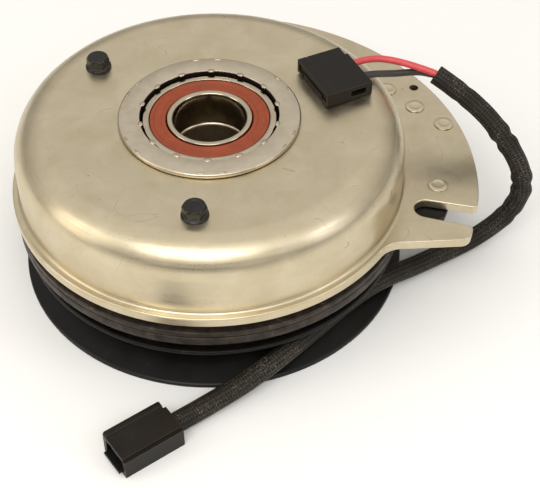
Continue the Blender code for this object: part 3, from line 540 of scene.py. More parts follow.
def noise(
    tree: Tree, place: Socket, size_mm: float, detail: float, roughness: float = 0.5,
    distortion: float = 0.0,
) -> Socket:
    """Add a noise pattern.

    Args:
        tree: The material's node tree.
        place: The coordinates that it reads.
        size_mm: The width of its features.
        detail: Its octaves.
        roughness: How strong the finer octaves are.
        distortion: How much it swirls.

    Returns:
        The pattern's socket, from 0 to 1.
    """
    node = add_node(
        tree, "ShaderNodeTexNoise", None,
        {"Vector": place, "Scale": per_mm(size_mm), "Detail": detail, "Roughness": roughness,
         "Distortion": distortion},
    )
    return node.outputs["Fac"]


def add_bump(tree: Tree, shader: bpy.types.Node, height: Socket, strength: float, depth_mm: float) -> None:
    """Tilt a shader's normal by a height pattern.

    Args:
        tree: The material's node tree.
        shader: The shader.
        height: The pattern's socket.
        strength: How strong the tilt is.
        depth_mm: The depth that a height of 1 stands for.
    """
    bump = add_node(
        tree, "ShaderNodeBump", None, {"Height": height, "Strength": strength, "Distance": depth_mm * MM},
    )
    tree.links.new(bump.outputs["Normal"], shader.inputs["Normal"])


def edge_mask(tree: Tree, amount: float) -> Socket:
    """Find the edges, where a rounded normal leaves the face's own, to lighten them as rubbed wear and, on
    some finishes, partly as a painted highlight.

    Args:
        tree: The material's node tree.
        amount: The mask's value on an edge.

    Returns:
        The mask's socket.
    """
    rounded = add_node(tree, "ShaderNodeBevel", {"samples": 6}, {"Radius": 0.45 * MM}).outputs["Normal"]
    own = add_node(tree, "ShaderNodeNewGeometry").outputs["Normal"]
    alike = add_node(
        tree, "ShaderNodeVectorMath", {"operation": "DOT_PRODUCT"}, {0: rounded, 1: own},
    ).outputs["Value"]
    return ranged(tree, alike, 0.90, 0.99, amount, 0.0)


@dataclass(frozen=True)
class MetalFinish:
    """A metal surface with mottling, hairline scratches, grain and lightened edges: rubbed wear, and on some
    finishes partly a painted highlight.

    The mottle is the cloudy tone of plating or oxide, the scratches are thin curved lines, the streaks are
    long marks that drawing or turning leaves, and the rings are the fine circles that a lathe leaves.
    """

    name: str
    light: str
    dark: str
    edge: str
    roughness_low: float
    roughness_high: float
    metallic: float = 1.0
    mottle_mm: float = 14.0
    smudge_mm: float = 30.0
    scratch_mm: float = 22.0
    scratch_depth: float = 0.5
    scratch_width: float = 0.0016
    grain_mm: float = 0.5
    grain_depth: float = 0.12
    ring_mm: float = 0.0
    ring_depth: float = 0.0
    edge_wear_and_highlight: float = 0.4
    specular: float = 0.5
    streak_mm: float = 0.0
    scratch_tint: str = "#CFC8BA"
    pits: float = 0.0
    pit_mm: float = 2.2

    def scratches(self, tree: Tree, place: Socket, mottle: Socket, smudge: Socket) -> Socket:
        """Draw hairlines in patches, and small pits where the finish has any.

        Args:
            tree: The material's node tree.
            place: Object coordinates.
            mottle: The mottle's pattern.
            smudge: The smudges' pattern.

        Returns:
            The marks' mask.
        """
        line = noise(tree, place, self.scratch_mm, 0.0, distortion=0.9)
        away = maths(tree, "ABSOLUTE", maths(tree, "SUBTRACT", line, 0.5))
        hairline = ranged(tree, away, 0.0, self.scratch_width, 1.0, 0.0)
        patch = ranged(tree, mottle, 0.52, 0.62, 0.0, self.scratch_depth)
        scratch = maths(tree, "MULTIPLY", hairline, patch)
        if self.pits <= 0.0:
            return scratch
        spots = noise(tree, place, self.pit_mm, 2.0, 0.7)
        pit = ranged(tree, spots, 0.70, 0.76, 0.0, self.pits)
        pitted = maths(tree, "MULTIPLY", pit, ranged(tree, smudge, 0.5, 0.6, 0.0, 1.0))
        return maths(tree, "MAXIMUM", scratch, pitted)

    def gloss(self, tree: Tree, place: Socket, smudge: Socket, grain: Socket) -> Socket:
        """Work out the roughness from smudges, grain and streaks.

        Args:
            tree: The material's node tree.
            place: Object coordinates.
            smudge: The smudges' pattern.
            grain: The grain's pattern.

        Returns:
            The roughness.
        """
        rough = ranged(tree, smudge, 0.32, 0.68, self.roughness_low, self.roughness_high)
        rough = maths(tree, "ADD", rough, ranged(tree, grain, 0.3, 0.7, -0.03, 0.03))
        if self.streak_mm <= 0.0:
            return rough
        flattened = add_node(
            tree, "ShaderNodeMapping", None, {"Vector": place, "Scale": (0.04, 0.04, 1.0)},
        ).outputs["Vector"]
        streaks = noise(tree, flattened, self.streak_mm, 4.0, 0.7)
        return maths(tree, "ADD", rough, ranged(tree, streaks, 0.35, 0.65, -0.07, 0.07))

    def relief(self, tree: Tree, place: Socket, grain: Socket, scratch: Socket) -> Socket:
        """Work out the height from grain, scratches and lathe rings.

        Args:
            tree: The material's node tree.
            place: Object coordinates.
            grain: The grain's pattern.
            scratch: The scratches' mask.

        Returns:
            The height.
        """
        height = maths(tree, "MULTIPLY", grain, self.grain_depth)
        height = maths(tree, "SUBTRACT", height, maths(tree, "MULTIPLY", scratch, 0.5))
        if self.ring_depth <= 0.0:
            return height
        rings = add_node(
            tree, "ShaderNodeTexWave", {"wave_type": "RINGS", "rings_direction": "Z"},
            {"Vector": place, "Scale": 1.0 / (20.0 * self.ring_mm * MM) * math.tau, "Distortion": 0.3,
             "Detail": 1.0, "Detail Scale": 3.0},
        ).outputs["Fac"]
        return maths(tree, "ADD", height, maths(tree, "MULTIPLY", rings, self.ring_depth))

    def build(self) -> bpy.types.Material:
        """Build the material.

        Returns:
            The material, on Object coordinates.
        """
        material, tree, shader = new_surface(self.name)
        place = add_node(tree, "ShaderNodeTexCoord").outputs["Object"]
        mottle = noise(tree, place, self.mottle_mm, 5.0, 0.6, 0.4)
        smudge = noise(tree, place, self.smudge_mm, 3.0, 0.55, 1.2)
        grain = noise(tree, place, self.grain_mm, 2.0, 0.6)
        scratch = self.scratches(tree, place, mottle, smudge)
        # The edge mask lightens edges: rubbed wear, and on the black oxide and black coated finishes partly
        # a painted highlight
        worn = edge_mask(tree, self.edge_wear_and_highlight)
        tone = mixed(tree, ranged(tree, mottle, 0.34, 0.68, 0.0, 1.0), colour(self.dark), colour(self.light))
        marked = mixed(tree, worn, mixed(tree, scratch, tone, colour(self.scratch_tint)), colour(self.edge))
        tree.links.new(marked, shader.inputs["Base Color"])
        tree.links.new(self.gloss(tree, place, smudge, grain), shader.inputs["Roughness"])
        shader.inputs["Metallic"].default_value = self.metallic
        shader.inputs["Specular IOR Level"].default_value = self.specular
        add_bump(tree, shader, self.relief(tree, place, grain, scratch), 0.35, 0.12)
        return material


@dataclass(frozen=True)
class MouldedFinish:
    """A moulded surface, of plastic or rubber, with a spark-eroded texture and rubbed edges."""

    name: str
    light: str
    dark: str
    edge: str
    roughness: float
    texture_mm: float = 0.35
    texture_depth: float = 0.3
    cloud_mm: float = 6.0
    edge_wear_and_highlight: float = 0.35
    dust: float = 0.0
    specular: float = 0.5

    def build(self) -> bpy.types.Material:
        """Build the material.

        Returns:
            The material, on Object coordinates.
        """
        material, tree, shader = new_surface(self.name)
        place = add_node(tree, "ShaderNodeTexCoord").outputs["Object"]
        cloud = noise(tree, place, self.cloud_mm, 4.0, 0.6)
        texture = noise(tree, place, self.texture_mm, 1.0)
        worn = edge_mask(tree, self.edge_wear_and_highlight)
        specks = ranged(tree, maths(tree, "MULTIPLY", cloud, texture), 0.34, 0.42, 0.0, self.dust)
        tone = mixed(tree, ranged(tree, cloud, 0.3, 0.7, 0.0, 1.0), colour(self.dark), colour(self.light))
        marked = mixed(tree, maths(tree, "MAXIMUM", worn, specks), tone, colour(self.edge))
        tree.links.new(marked, shader.inputs["Base Color"])
        rough = ranged(tree, cloud, 0.3, 0.7, self.roughness - 0.06, self.roughness + 0.08)
        tree.links.new(rough, shader.inputs["Roughness"])
        shader.inputs["Specular IOR Level"].default_value = self.specular
        add_bump(tree, shader, texture, self.texture_depth, 0.08)
        return material


@dataclass(frozen=True)
class WovenSleeving:
    """Braided sleeving: two families of strands that cross at about 45 degrees.

    The UV map holds millimetres along the sleeve and turns around it.
    """

    name: str = "black_braided_sleeving"
    light: str = "#3C352B"
    dark: str = "#120F0C"
    painted_glint: str = "#B0A78F"
    strands: int = 14
    cell_mm: float = 1.1
    fuzz_mm: float = 0.6
    soil_mm: float = 14.0
    painted_glint_mm: float = 0.42

    def build(self) -> bpy.types.Material:
        """Build the material.

        Returns:
            The material, on the piece's own UV map.
        """
        material, tree, shader = new_surface(self.name)
        flat = add_node(tree, "ShaderNodeUVMap", {"uv_map": "UVMap"}).outputs["UV"]
        split = add_node(tree, "ShaderNodeSeparateXYZ", None, {"Vector": flat})
        along = maths(tree, "MULTIPLY", split.outputs["X"], math.pi / self.cell_mm)
        around = maths(tree, "MULTIPLY", split.outputs["Y"], math.pi * self.strands)
        leaning = maths(tree, "SINE", maths(tree, "ADD", along, around))
        crossing = maths(tree, "SINE", maths(tree, "SUBTRACT", along, around))
        lattice = maths(tree, "MULTIPLY", leaning, crossing)
        weave = ranged(tree, lattice, -0.8, 0.8, 0.0, 1.0)
        place = add_node(tree, "ShaderNodeTexCoord").outputs["Object"]
        fuzz = noise(tree, place, self.fuzz_mm, 3.0)
        soil = noise(tree, place, self.soil_mm, 3.0)
        lit = maths(tree, "MULTIPLY", weave, ranged(tree, soil, 0.35, 0.65, 0.35, 1.0))
        lit = maths(tree, "MULTIPLY", lit, ranged(tree, fuzz, 0.3, 0.7, 0.6, 1.1))
        # Sparse light flecks on the braid are painted glints, where light catches single strands
        painted_glint_spots = ranged(tree, noise(tree, place, self.painted_glint_mm, 1.0), 0.62, 0.74, 0.0, 0.6)
        painted_glints = maths(tree, "MULTIPLY", painted_glint_spots, ranged(tree, soil, 0.45, 0.6, 0.1, 1.0))
        cloth = mixed(tree, lit, colour(self.dark), colour(self.light))
        tree.links.new(mixed(tree, painted_glints, cloth, colour(self.painted_glint)), shader.inputs["Base Color"])
        shader.inputs["Specular IOR Level"].default_value = 0.25
        tree.links.new(ranged(tree, weave, 0.0, 1.0, 0.72, 0.46), shader.inputs["Roughness"])
        height = maths(tree, "ADD", weave, maths(tree, "MULTIPLY", fuzz, 0.5))
        add_bump(tree, shader, height, 0.8, 0.25)
        return material


@dataclass(frozen=True)
class StudioPaper:
    """Plain pale paper under the object."""

    name: str = "pale_studio_paper"
    tint: str = "#FBFAF7"
    roughness: float = 0.7

    def build(self) -> bpy.types.Material:
        """Build the material.

        Returns:
            The material.
        """
        material, _, shader = new_surface(self.name)
        shader.inputs["Base Color"].default_value = colour(self.tint)
        shader.inputs["Roughness"].default_value = self.roughness
        return material


@dataclass
class Finishes:
    """All finishes of the clutch, built once."""

    # Zinc-plated pressed steel: warm silver, cloudy, with hairlines, pits and drawing streaks
    zinc: MetalFinish = MetalFinish(
        "zinc_plated_pressed_steel", "#D6CAAF", "#CABDA0", "#F2EBDD", 0.33, 0.39, scratch_depth=1.0,
        scratch_width=0.0024, grain_depth=0.05, edge_wear_and_highlight=0.25, streak_mm=0.9, scratch_tint="#7C7059",
        pits=0.7,
    )
    # Turned mild steel: warm grey with fine lathe rings
    turned: MetalFinish = MetalFinish(
        "turned_mild_steel", "#D2C7B3", "#C6BAA5", "#F4EDDF", 0.28, 0.34, mottle_mm=5.0, smudge_mm=9.0,
        ring_mm=0.35, ring_depth=0.25, scratch_depth=0.3,
    )
    # Ground bearing steel: smooth and shiny
    bearing: MetalFinish = MetalFinish(
        "ground_bearing_steel", "#C9BDA8", "#B9AD98", "#F0E9DA", 0.12, 0.18, mottle_mm=7.0,
        grain_depth=0.02, scratch_depth=0.2, edge_wear_and_highlight=0.2,
    )
    # Pressed iron, oiled: dull dark grey
    iron: MetalFinish = MetalFinish(
        "oiled_pressed_iron", "#77706A", "#4A4541", "#A79F96", 0.40, 0.55, mottle_mm=8.0,
    )
    # Iron of the rotor and armature: brown-black and streaked, rubbed on its edges
    worn: MetalFinish = MetalFinish(
        "scorched_rotor_iron", "#4A4038", "#2A2521", "#A99D8C", 0.40, 0.56, metallic=0.6, mottle_mm=4.5,
        smudge_mm=7.0, scratch_mm=9.0, scratch_depth=0.6, edge_wear_and_highlight=0.5, grain_depth=0.25, specular=0.3,
        streak_mm=0.7,
    )
    # Black e-coated steel: nearly black satin; its lighter lips are partly rubbed coating and partly a
    # painted highlight
    black: MetalFinish = MetalFinish(
        "black_coated_pressed_steel", "#110F0D", "#0A0908", "#857D6C", 0.30, 0.40, metallic=0.0,
        mottle_mm=9.0, edge_wear_and_highlight=0.7, scratch_depth=0.12, specular=0.22,
    )
    # Black oxide on screws; the lighter edge colour is partly rubbed wear and partly a painted highlight on
    # the edges
    oxide: MetalFinish = MetalFinish(
        "black_oxide_screw_steel", "#1C1814", "#100E0C", "#8E8676", 0.24, 0.34, metallic=0.2,
        mottle_mm=2.5, edge_wear_and_highlight=0.25, grain_mm=0.3, specular=0.45,
    )
    # Painted shade: a near-black lining for the deep, shadowed groove round the bearing
    groove_shade: MouldedFinish = MouldedFinish(
        "painted_shade_in_groove", "#14110E", "#0B0908", "#1E1A16", 0.55, texture_mm=0.8, texture_depth=0.4,
        specular=0.15,
    )
    # Blued spring steel
    spring: MetalFinish = MetalFinish(
        "blued_spring_steel", "#8C8983", "#5E5C59", "#C6C1B8", 0.28, 0.42, mottle_mm=5.0,
    )
    # Enamelled copper wire
    copper: MetalFinish = MetalFinish(
        "enamelled_copper_winding", "#C4783F", "#8E4C25", "#E3A06A", 0.25, 0.35, ring_mm=0.6,
        ring_depth=0.6, mottle_mm=6.0,
    )
    # Stamped brass of the terminals
    brass: MetalFinish = MetalFinish(
        "stamped_terminal_brass", "#E2C98A", "#B4975A", "#FFF0C8", 0.20, 0.32, mottle_mm=3.0,
    )
    # Nitrile bearing seal, terracotta, moulded
    seal: MouldedFinish = MouldedFinish(
        "terracotta_nitrile_seal", "#984729", "#883D25", "#B06343", 0.50, texture_mm=0.4, cloud_mm=5.0,
        edge_wear_and_highlight=0.25, specular=0.3,
    )
    # Black nylon of the plugs, slightly greyed on its edges
    nylon: MouldedFinish = MouldedFinish(
        "black_nylon_moulding", "#1D1712", "#130F0B", "#5A4F3E", 0.40, edge_wear_and_highlight=0.5, dust=0.04,
        specular=0.24,
    )
    # Unworn black nylon and paint of the pieces behind the others
    plain: MouldedFinish = MouldedFinish(
        "plain_black_moulding", "#15120F", "#0D0B0A", "#15120F", 0.45, edge_wear_and_highlight=0.0, specular=0.18,
    )
    # Glass-filled nylon of the bobbin
    bobbin: MouldedFinish = MouldedFinish(
        "tan_glass_filled_nylon", "#B79C6A", "#97804F", "#CDB88A", 0.5,
    )
    # Poured epoxy over the coil
    epoxy: MouldedFinish = MouldedFinish(
        "poured_black_epoxy", "#34353A", "#212226", "#4A4B50", 0.3, texture_mm=2.0, texture_depth=0.15,
    )
    # Bonded friction lining, brown and grainy
    lining: MouldedFinish = MouldedFinish(
        "bonded_friction_lining", "#5C5040", "#3A3227", "#7D6E58", 0.85, texture_mm=0.6,
        texture_depth=0.8, cloud_mm=2.0,
    )
    # PVC insulation of the two wires
    red_wire: MouldedFinish = MouldedFinish(
        "red_pvc_insulation", "#DC5557", "#D0464B", "#F2747A", 0.38, texture_mm=0.8, texture_depth=0.1,
        edge_wear_and_highlight=0.0,
    )
    black_wire: MouldedFinish = MouldedFinish(
        "black_pvc_insulation", "#37322E", "#262320", "#55524F", 0.36, texture_mm=0.8, texture_depth=0.1,
        edge_wear_and_highlight=0.0,
    )
    sleeving: WovenSleeving = WovenSleeving()
    paper: StudioPaper = StudioPaper()
    made: dict[str, bpy.types.Material] = field(default_factory=dict)

    def get(self, finish: MetalFinish | MouldedFinish | WovenSleeving | StudioPaper) -> bpy.types.Material:
        """Find a finish's material, which is made on first use.

        Args:
            finish: The finish.

        Returns:
            Its material.
        """
        if finish.name not in self.made:
            self.made[finish.name] = finish.build()
        return self.made[finish.name]


# ---------------------------------------------------------------- studio


@dataclass(frozen=True)
class Softbox:
    """A rectangular softbox that faces the clutch, sized in metres, with its power in watts."""

    name: str
    place: Corner
    width: float
    height: float
    power: float
    tint: str

    def build(self, aim: Vector) -> None:
        """Add the light.

        Args:
            aim: The point that it faces.
        """
        clear_selection()
        bpy.ops.object.light_add(type="AREA", location=self.place)
        light = bpy.context.object
        light.name = self.name
        light.rotation_euler = (aim - Vector(self.place)).to_track_quat("-Z", "Y").to_euler()
        light.data.shape = "RECTANGLE"
        light.data.size = self.width
        light.data.size_y = self.height
        light.data.energy = self.power
        light.data.color = colour(self.tint)[:3]


@dataclass
class Studio:
    """Camera, pale floor and soft light."""

    camera_place: Vector = field(default_factory=lambda: Vector((0.0, -364.36, 369.85)) * MM)
    camera_target: Vector = field(default_factory=lambda: Vector((21.51, -32.39, 30.0)) * MM)
    camera_roll: float = math.radians(0.283)
    lens_mm: float = 81.16
    sensor_mm: float = 36.0
    nearest: float = 0.01
    floor_size: float = 6.0
    aim: Vector = field(default_factory=lambda: Vector((0.0, 0.0, 0.04)))
    softboxes: tuple[Softbox, ...] = (
        Softbox("key_softbox", (-0.12, -0.60, 0.80), 0.8, 0.45, 3.8, "#FFFFFF"),
        Softbox("left_softbox", (-0.9, -0.2, 0.45), 0.4, 0.7, 1.8, "#FFF8EC"),
        Softbox("right_softbox", (0.85, -0.45, 0.6), 0.3, 0.6, 1.4, "#F6F8FF"),
    )
    sky_low: str = "#6E6A64"
    sky_high: str = "#FFFCF7"
    sky_strength: float = 0.9

    def place_camera(self) -> None:
        """Add the studio camera."""
        clear_selection()
        bpy.ops.object.camera_add(location=self.camera_place)
        camera = bpy.context.object
        camera.name = "studio_camera"
        look = (self.camera_target - self.camera_place).to_track_quat("-Z", "Y").to_matrix()
        camera.rotation_euler = (look @ Matrix.Rotation(self.camera_roll, 3, "Z")).to_euler()
        camera.data.lens = self.lens_mm
        camera.data.sensor_width = self.sensor_mm
        camera.data.clip_start = self.nearest
        bpy.context.scene.camera = camera

    def lay_floor(self, finishes: Finishes) -> None:
        """Add the pale floor that the clutch lies on.

        Args:
            finishes: The finishes.
        """
        clear_selection()
        bpy.ops.mesh.primitive_plane_add(size=self.floor_size, location=(0.0, 0.0, 0.0))
        floor = bpy.context.object
        floor.name = "studio_floor"
        floor.data.materials.append(finishes.get(finishes.paper))

    def light(self) -> None:
        """Light the set with three softboxes and a sky that is darker near the horizon."""
        for softbox in self.softboxes:
            softbox.build(self.aim)
        world = bpy.data.worlds.new("studio_sky")
        bpy.context.scene.world = world
        world.use_nodes = True
        tree = world.node_tree
        sky = tree.nodes["Background"]
        place = add_node(tree, "ShaderNodeTexCoord").outputs["Generated"]
        height = add_node(tree, "ShaderNodeSeparateXYZ", None, {"Vector": place}).outputs["Z"]
        rise = ranged(tree, height, -0.05, 0.75, 0.0, 1.0)
        tree.links.new(mixed(tree, rise, colour(self.sky_low), colour(self.sky_high)), sky.inputs["Color"])
        sky.inputs["Strength"].default_value = self.sky_strength
        bpy.context.scene.view_settings.view_transform = "Standard"


# ---------------------------------------------------------------- lead


def smooth_route(points: Sequence[Sequence[float]], per_span: int) -> list[Vector]:
    """Read points from a smooth curve through a route's own points.

    Args:
        points: The route, in millimetres.
        per_span: Points to read on each span.

    Returns:
        The smooth route, in metres.
    """
    route = [Vector(point) * MM for point in points]
    read: list[Vector] = []
    for index in range(len(route) - 1):
        start, end = route[index], route[index + 1]
        before = route[max(index - 1, 0)]
        after = route[min(index + 2, len(route) - 1)]
        leave = start + (end - before) / 6.0
        arrive = end - (after - start) / 6.0
        read.extend(interpolate_bezier(start, leave, arrive, end, per_span + 1)[:-1])
    read.append(route[-1])
    return read


@dataclass
class Lead:
    """Two insulated wires from the upper plug into a braided sleeve, which ends in the lower connector."""

    finishes: Finishes
    sleeve_diameter: float = 8.0 * MM
    wire_diameter: float = 2.8 * MM
    mouth_depth: float = 3.0
    mouth_wall: float = 0.7
    wire_overlap: float = 2.4
    sleeve_route: tuple[Corner, ...] = (
        (91.5, 22.0, 68.0), (96.5, 19.0, 65.5), (102.0, 15.5, 62.5), (107.5, 12.0, 59.0),
        (112.5, 8.5, 55.0), (117.0, 5.3, 50.0), (121.5, 2.4, 44.0), (125.0, 0.0, 38.0),
        (127.0, -1.5, 32.0), (127.5, -2.6, 25.5), (125.8, -3.6, 19.3), (121.5, -5.0, 12.9),
        (114.3, -7.4, 7.6), (105.0, -11.6, 4.9), (93.5, -17.8, 4.9), (81.0, -25.6, 6.6),
        (71.6, -31.5, 8.6), (64.0, -36.6, 9.8), (56.8, -41.8, 9.9), (48.3, -49.2, 9.9),
        (39.8, -57.2, 9.9), (31.2, -65.2, 9.9), (22.4, -72.9, 9.6), (15.6, -77.8, 8.4), (7.2, -83.0, 6.6),
        (-5.3, -90.0, 4.7), (-12.0, -94.1, 4.5), (-17.6, -97.6, 4.5),
    )
    red_route: tuple[Corner, ...] = (
        (58.0, 25.6, 71.9), (62.5, 27.4, 72.1), (68.0, 28.4, 71.9), (73.5, 27.8, 71.5),
        (79.0, 26.1, 71.0), (84.2, 23.9, 70.4), (88.4, 22.0, 69.8), (90.9, 20.7, 69.4),
    )
    black_route: tuple[Corner, ...] = (
        (61.3, 17.65, 71.9), (65.5, 19.4, 71.2), (70.5, 21.5, 69.6), (75.5, 23.1, 68.3),
        (80.5, 24.2, 67.7), (85.5, 24.5, 67.4), (89.6, 23.6, 67.0), (91.0, 23.1, 66.9),
    )

    def tube(self, name: str, path: Sequence[Vector], diameter: float, sides: int) -> bpy.types.Object:
        """Make a round tube along a path, with closed ends and its own UV map.

        Args:
            name: The piece's name.
            path: Its centreline.
            diameter: Its diameter.
            sides: Bevel resolution of its section.

        Returns:
            The tube as a mesh.
        """
        curve = bpy.data.curves.new(name, "CURVE")
        curve.dimensions = "3D"
        curve.bevel_depth = diameter / 2.0
        curve.bevel_resolution = sides
        curve.use_fill_caps = True
        spline = curve.splines.new("POLY")
        spline.points.add(len(path) - 1)
        for spot, place in zip(spline.points, path):
            spot.co = (*place, 1.0)
        piece = bpy.data.objects.new(name, curve)
        bpy.context.scene.collection.objects.link(piece)
        focus(piece)
        bpy.ops.object.convert(target="MESH")
        bpy.ops.object.mode_set(mode="EDIT")
        merge_and_face_out(0.001 * MM)
        bpy.ops.object.mode_set(mode="OBJECT")
        self.unwrap(piece, path)
        bpy.ops.object.shade_smooth_by_angle(angle=math.radians(50.0))
        return piece

    def unwrap(self, piece: bpy.types.Object, path: Sequence[Vector]) -> None:
        """Write a UV map of millimetres along a tube and turns around it.

        Args:
            piece: The tube.
            path: Its centreline.
        """
        lengths = [0.0]
        sides: list[Vector] = []
        side = Vector((0.0, 0.0, 1.0))
        for index, spot in enumerate(path):
            if index:
                lengths.append(lengths[-1] + (spot - path[index - 1]).length)
            heading = (path[min(index + 1, len(path) - 1)] - path[max(index - 1, 0)]).normalized()
            side = (side - heading * side.dot(heading)).normalized()
            sides.append(side.copy())
        mesh = piece.data
        spots: list[tuple[float, float]] = []
        for vertex in mesh.vertices:
            nearest = min(range(len(path)), key=lambda i: (path[i] - vertex.co).length_squared)
            heading = (path[min(nearest + 1, len(path) - 1)] - path[max(nearest - 1, 0)]).normalized()
            out = vertex.co - path[nearest]
            along = lengths[nearest] + out.dot(heading)
            turn = math.atan2(out.dot(heading.cross(sides[nearest])), out.dot(sides[nearest])) / math.tau
            spots.append((along / MM, turn))
        layer = mesh.uv_layers.get("UVMap") or mesh.uv_layers.new(name="UVMap")
        for face in mesh.polygons:
            first = spots[mesh.loops[face.loop_start].vertex_index][1]
            for loop in face.loop_indices:
                along, turn = spots[mesh.loops[loop].vertex_index]
                layer.data[loop].uv = (along, turn - round(turn - first))

    def open_mouth(self, sleeve: bpy.types.Object, path: Sequence[Vector]) -> None:
        """Turn the sleeve's upper cap into a shallow open mouth.

        Args:
            sleeve: The sleeve.
            path: Its centreline.
        """
        heading = (path[1] - path[0]).normalized()
        focus(sleeve)
        bpy.ops.object.mode_set(mode="EDIT")
        bpy.ops.mesh.select_mode(type="FACE")
        bpy.ops.mesh.select_all(action="DESELECT")
        bpy.ops.object.mode_set(mode="OBJECT")
        for face in sleeve.data.polygons:
            near = (Vector(face.center) - path[0]).length < self.mouth_depth * MM
            face.select = near and face.normal.dot(heading) < -0.9
        bpy.ops.object.mode_set(mode="EDIT")
        bpy.ops.mesh.inset(thickness=self.mouth_wall * MM, depth=0.0)
        bpy.ops.transform.translate(value=heading * self.mouth_depth * MM)
        bpy.ops.object.mode_set(mode="OBJECT")

    def crease(self, sleeve: bpy.types.Object, path: Sequence[Vector]) -> None:
        """Kink the sleeve softly, as braid does over wires where it bends.

        Args:
            sleeve: The sleeve.
            path: Its centreline.
        """
        folds = (
            ((118.5, 4.3, 48.2), 0.10, 0.11), ((127.5, -2.7, 29.0), 0.12, 0.13), ((123.5, -4.2, 15.5), 0.07,
             0.05),
            ((102.0, 15.5, 62.5), 0.05, 0.02),
        )
        for vertex in sleeve.data.vertices:
            nearest = min(path, key=lambda spot: (spot - vertex.co).length_squared)
            for fold, depth, swell in folds:
                away = (nearest - Vector(fold) * MM).length / MM
                swollen = swell * math.exp(-(((away - 3.2) / 1.9) ** 2))
                pinched = depth * math.exp(-((away / 1.4) ** 2))
                vertex.co = nearest + (vertex.co - nearest) * (1.0 + (swollen - pinched))

    def build(self) -> None:
        sleeve_path = smooth_route(self.sleeve_route, 8)
        sleeve = self.tube("lead_sleeve", sleeve_path, self.sleeve_diameter, 10)
        self.open_mouth(sleeve, sleeve_path)
        self.crease(sleeve, sleeve_path)
        dress(sleeve, self.finishes.get(self.finishes.sleeving), Body.FIELD, Slot.SLEEVE, "cable_sleeve")
        wires = (
            ("lead_red_wire", self.red_route, self.finishes.red_wire, Slot.RED_WIRE, "red_wire"),
            ("lead_black_wire", self.black_route, self.finishes.black_wire, Slot.BLACK_WIRE, "black_wire"),
        )
        mouth = (sleeve_path[1] - sleeve_path[0]).normalized()
        for name, route, finish, slot, node in wires:
            end = Vector(route[-1]) + mouth * self.wire_overlap
            path = smooth_route((*route, tuple(end)), 5)
            wire = self.tube(name, path, self.wire_diameter, 5)
            dress(wire, self.finishes.get(finish), Body.FIELD, slot, node)


@dataclass
class LowerConnector:
    """Two-way connector at the lead's end: a moulded shell, open at its far end."""

    finishes: Finishes
    place: Corner = (-28.5, -104.2, 0.0)
    turn: float = math.radians(32.5)
    length: float = 25.0
    width: float = 15.0
    height: float = 10.0
    floor_gap: float = 0.05
    chamfer: float = 1.2
    wall: float = 1.5
    far_wall: float = 1.9
    mouth_low: float = 1.4
    mouth_drop: float = 1.6
    back_wall: float = 6.0
    edge_rounding: float = 0.7
    past: float = 1.0

    def build(self) -> None:
        """Model the shell with its mouth, key slot, raised ridge, side step and chamfered edge."""
        half_length = self.length / 2.0
        half_width = self.width / 2.0
        high = self.height
        shell = block(
            "connector_shell", (-half_length, -half_width, self.floor_gap), (half_length, half_width, high),
        )
        mouth = block(
            "mouth", (-half_length - self.past, -half_width + self.wall, self.mouth_low),
            (half_length - self.back_wall, half_width - self.far_wall, high - self.mouth_drop),
        )
        combine(shell, mouth, "DIFFERENCE")
        key_slot = block(
            "key_slot", (-half_length - self.past, half_width - 6.2, high - 4.6),
            (-half_length + 7.0, half_width - 4.2, high - 0.9),
        )
        combine(shell, key_slot, "DIFFERENCE")
        ridge = block(
            "ridge", (-half_length, half_width - 2.8, high - 2.0),
            (half_length - 0.6, half_width + 0.6, high + 0.9),
        )
        soften_edges(ridge, 1.1, 4)
        combine(shell, ridge, "UNION")
        side_step = block(
            "side_step", (half_length - 1.1, half_width - 3.0, -self.past),
            (half_length + self.past, half_width + self.past, 12.0),
        )
        combine(shell, side_step, "DIFFERENCE")
        chamfer_tool = block(
            "front_chamfer", (-half_length - self.past, -self.chamfer, -self.chamfer),
            (half_length + self.past, self.chamfer, self.chamfer),
        )
        focus(chamfer_tool)
        bpy.ops.transform.rotate(value=math.radians(45.0), orient_axis="X", center_override=(0.0, 0.0, 0.0))
        turn_and_place(chamfer_tool, 0.0, (0.0, -half_width, high))
        combine(shell, chamfer_tool, "DIFFERENCE")
        soften_edges(shell, self.edge_rounding, 3)
        turn_and_place(shell, self.turn, self.place)
        nylon = self.finishes.get(self.finishes.nylon)
        dress(shell, nylon, Body.FIELD, Slot.BLACK_PLASTIC, "lower_connector_housing")


# ---------------------------------------------------------------- field


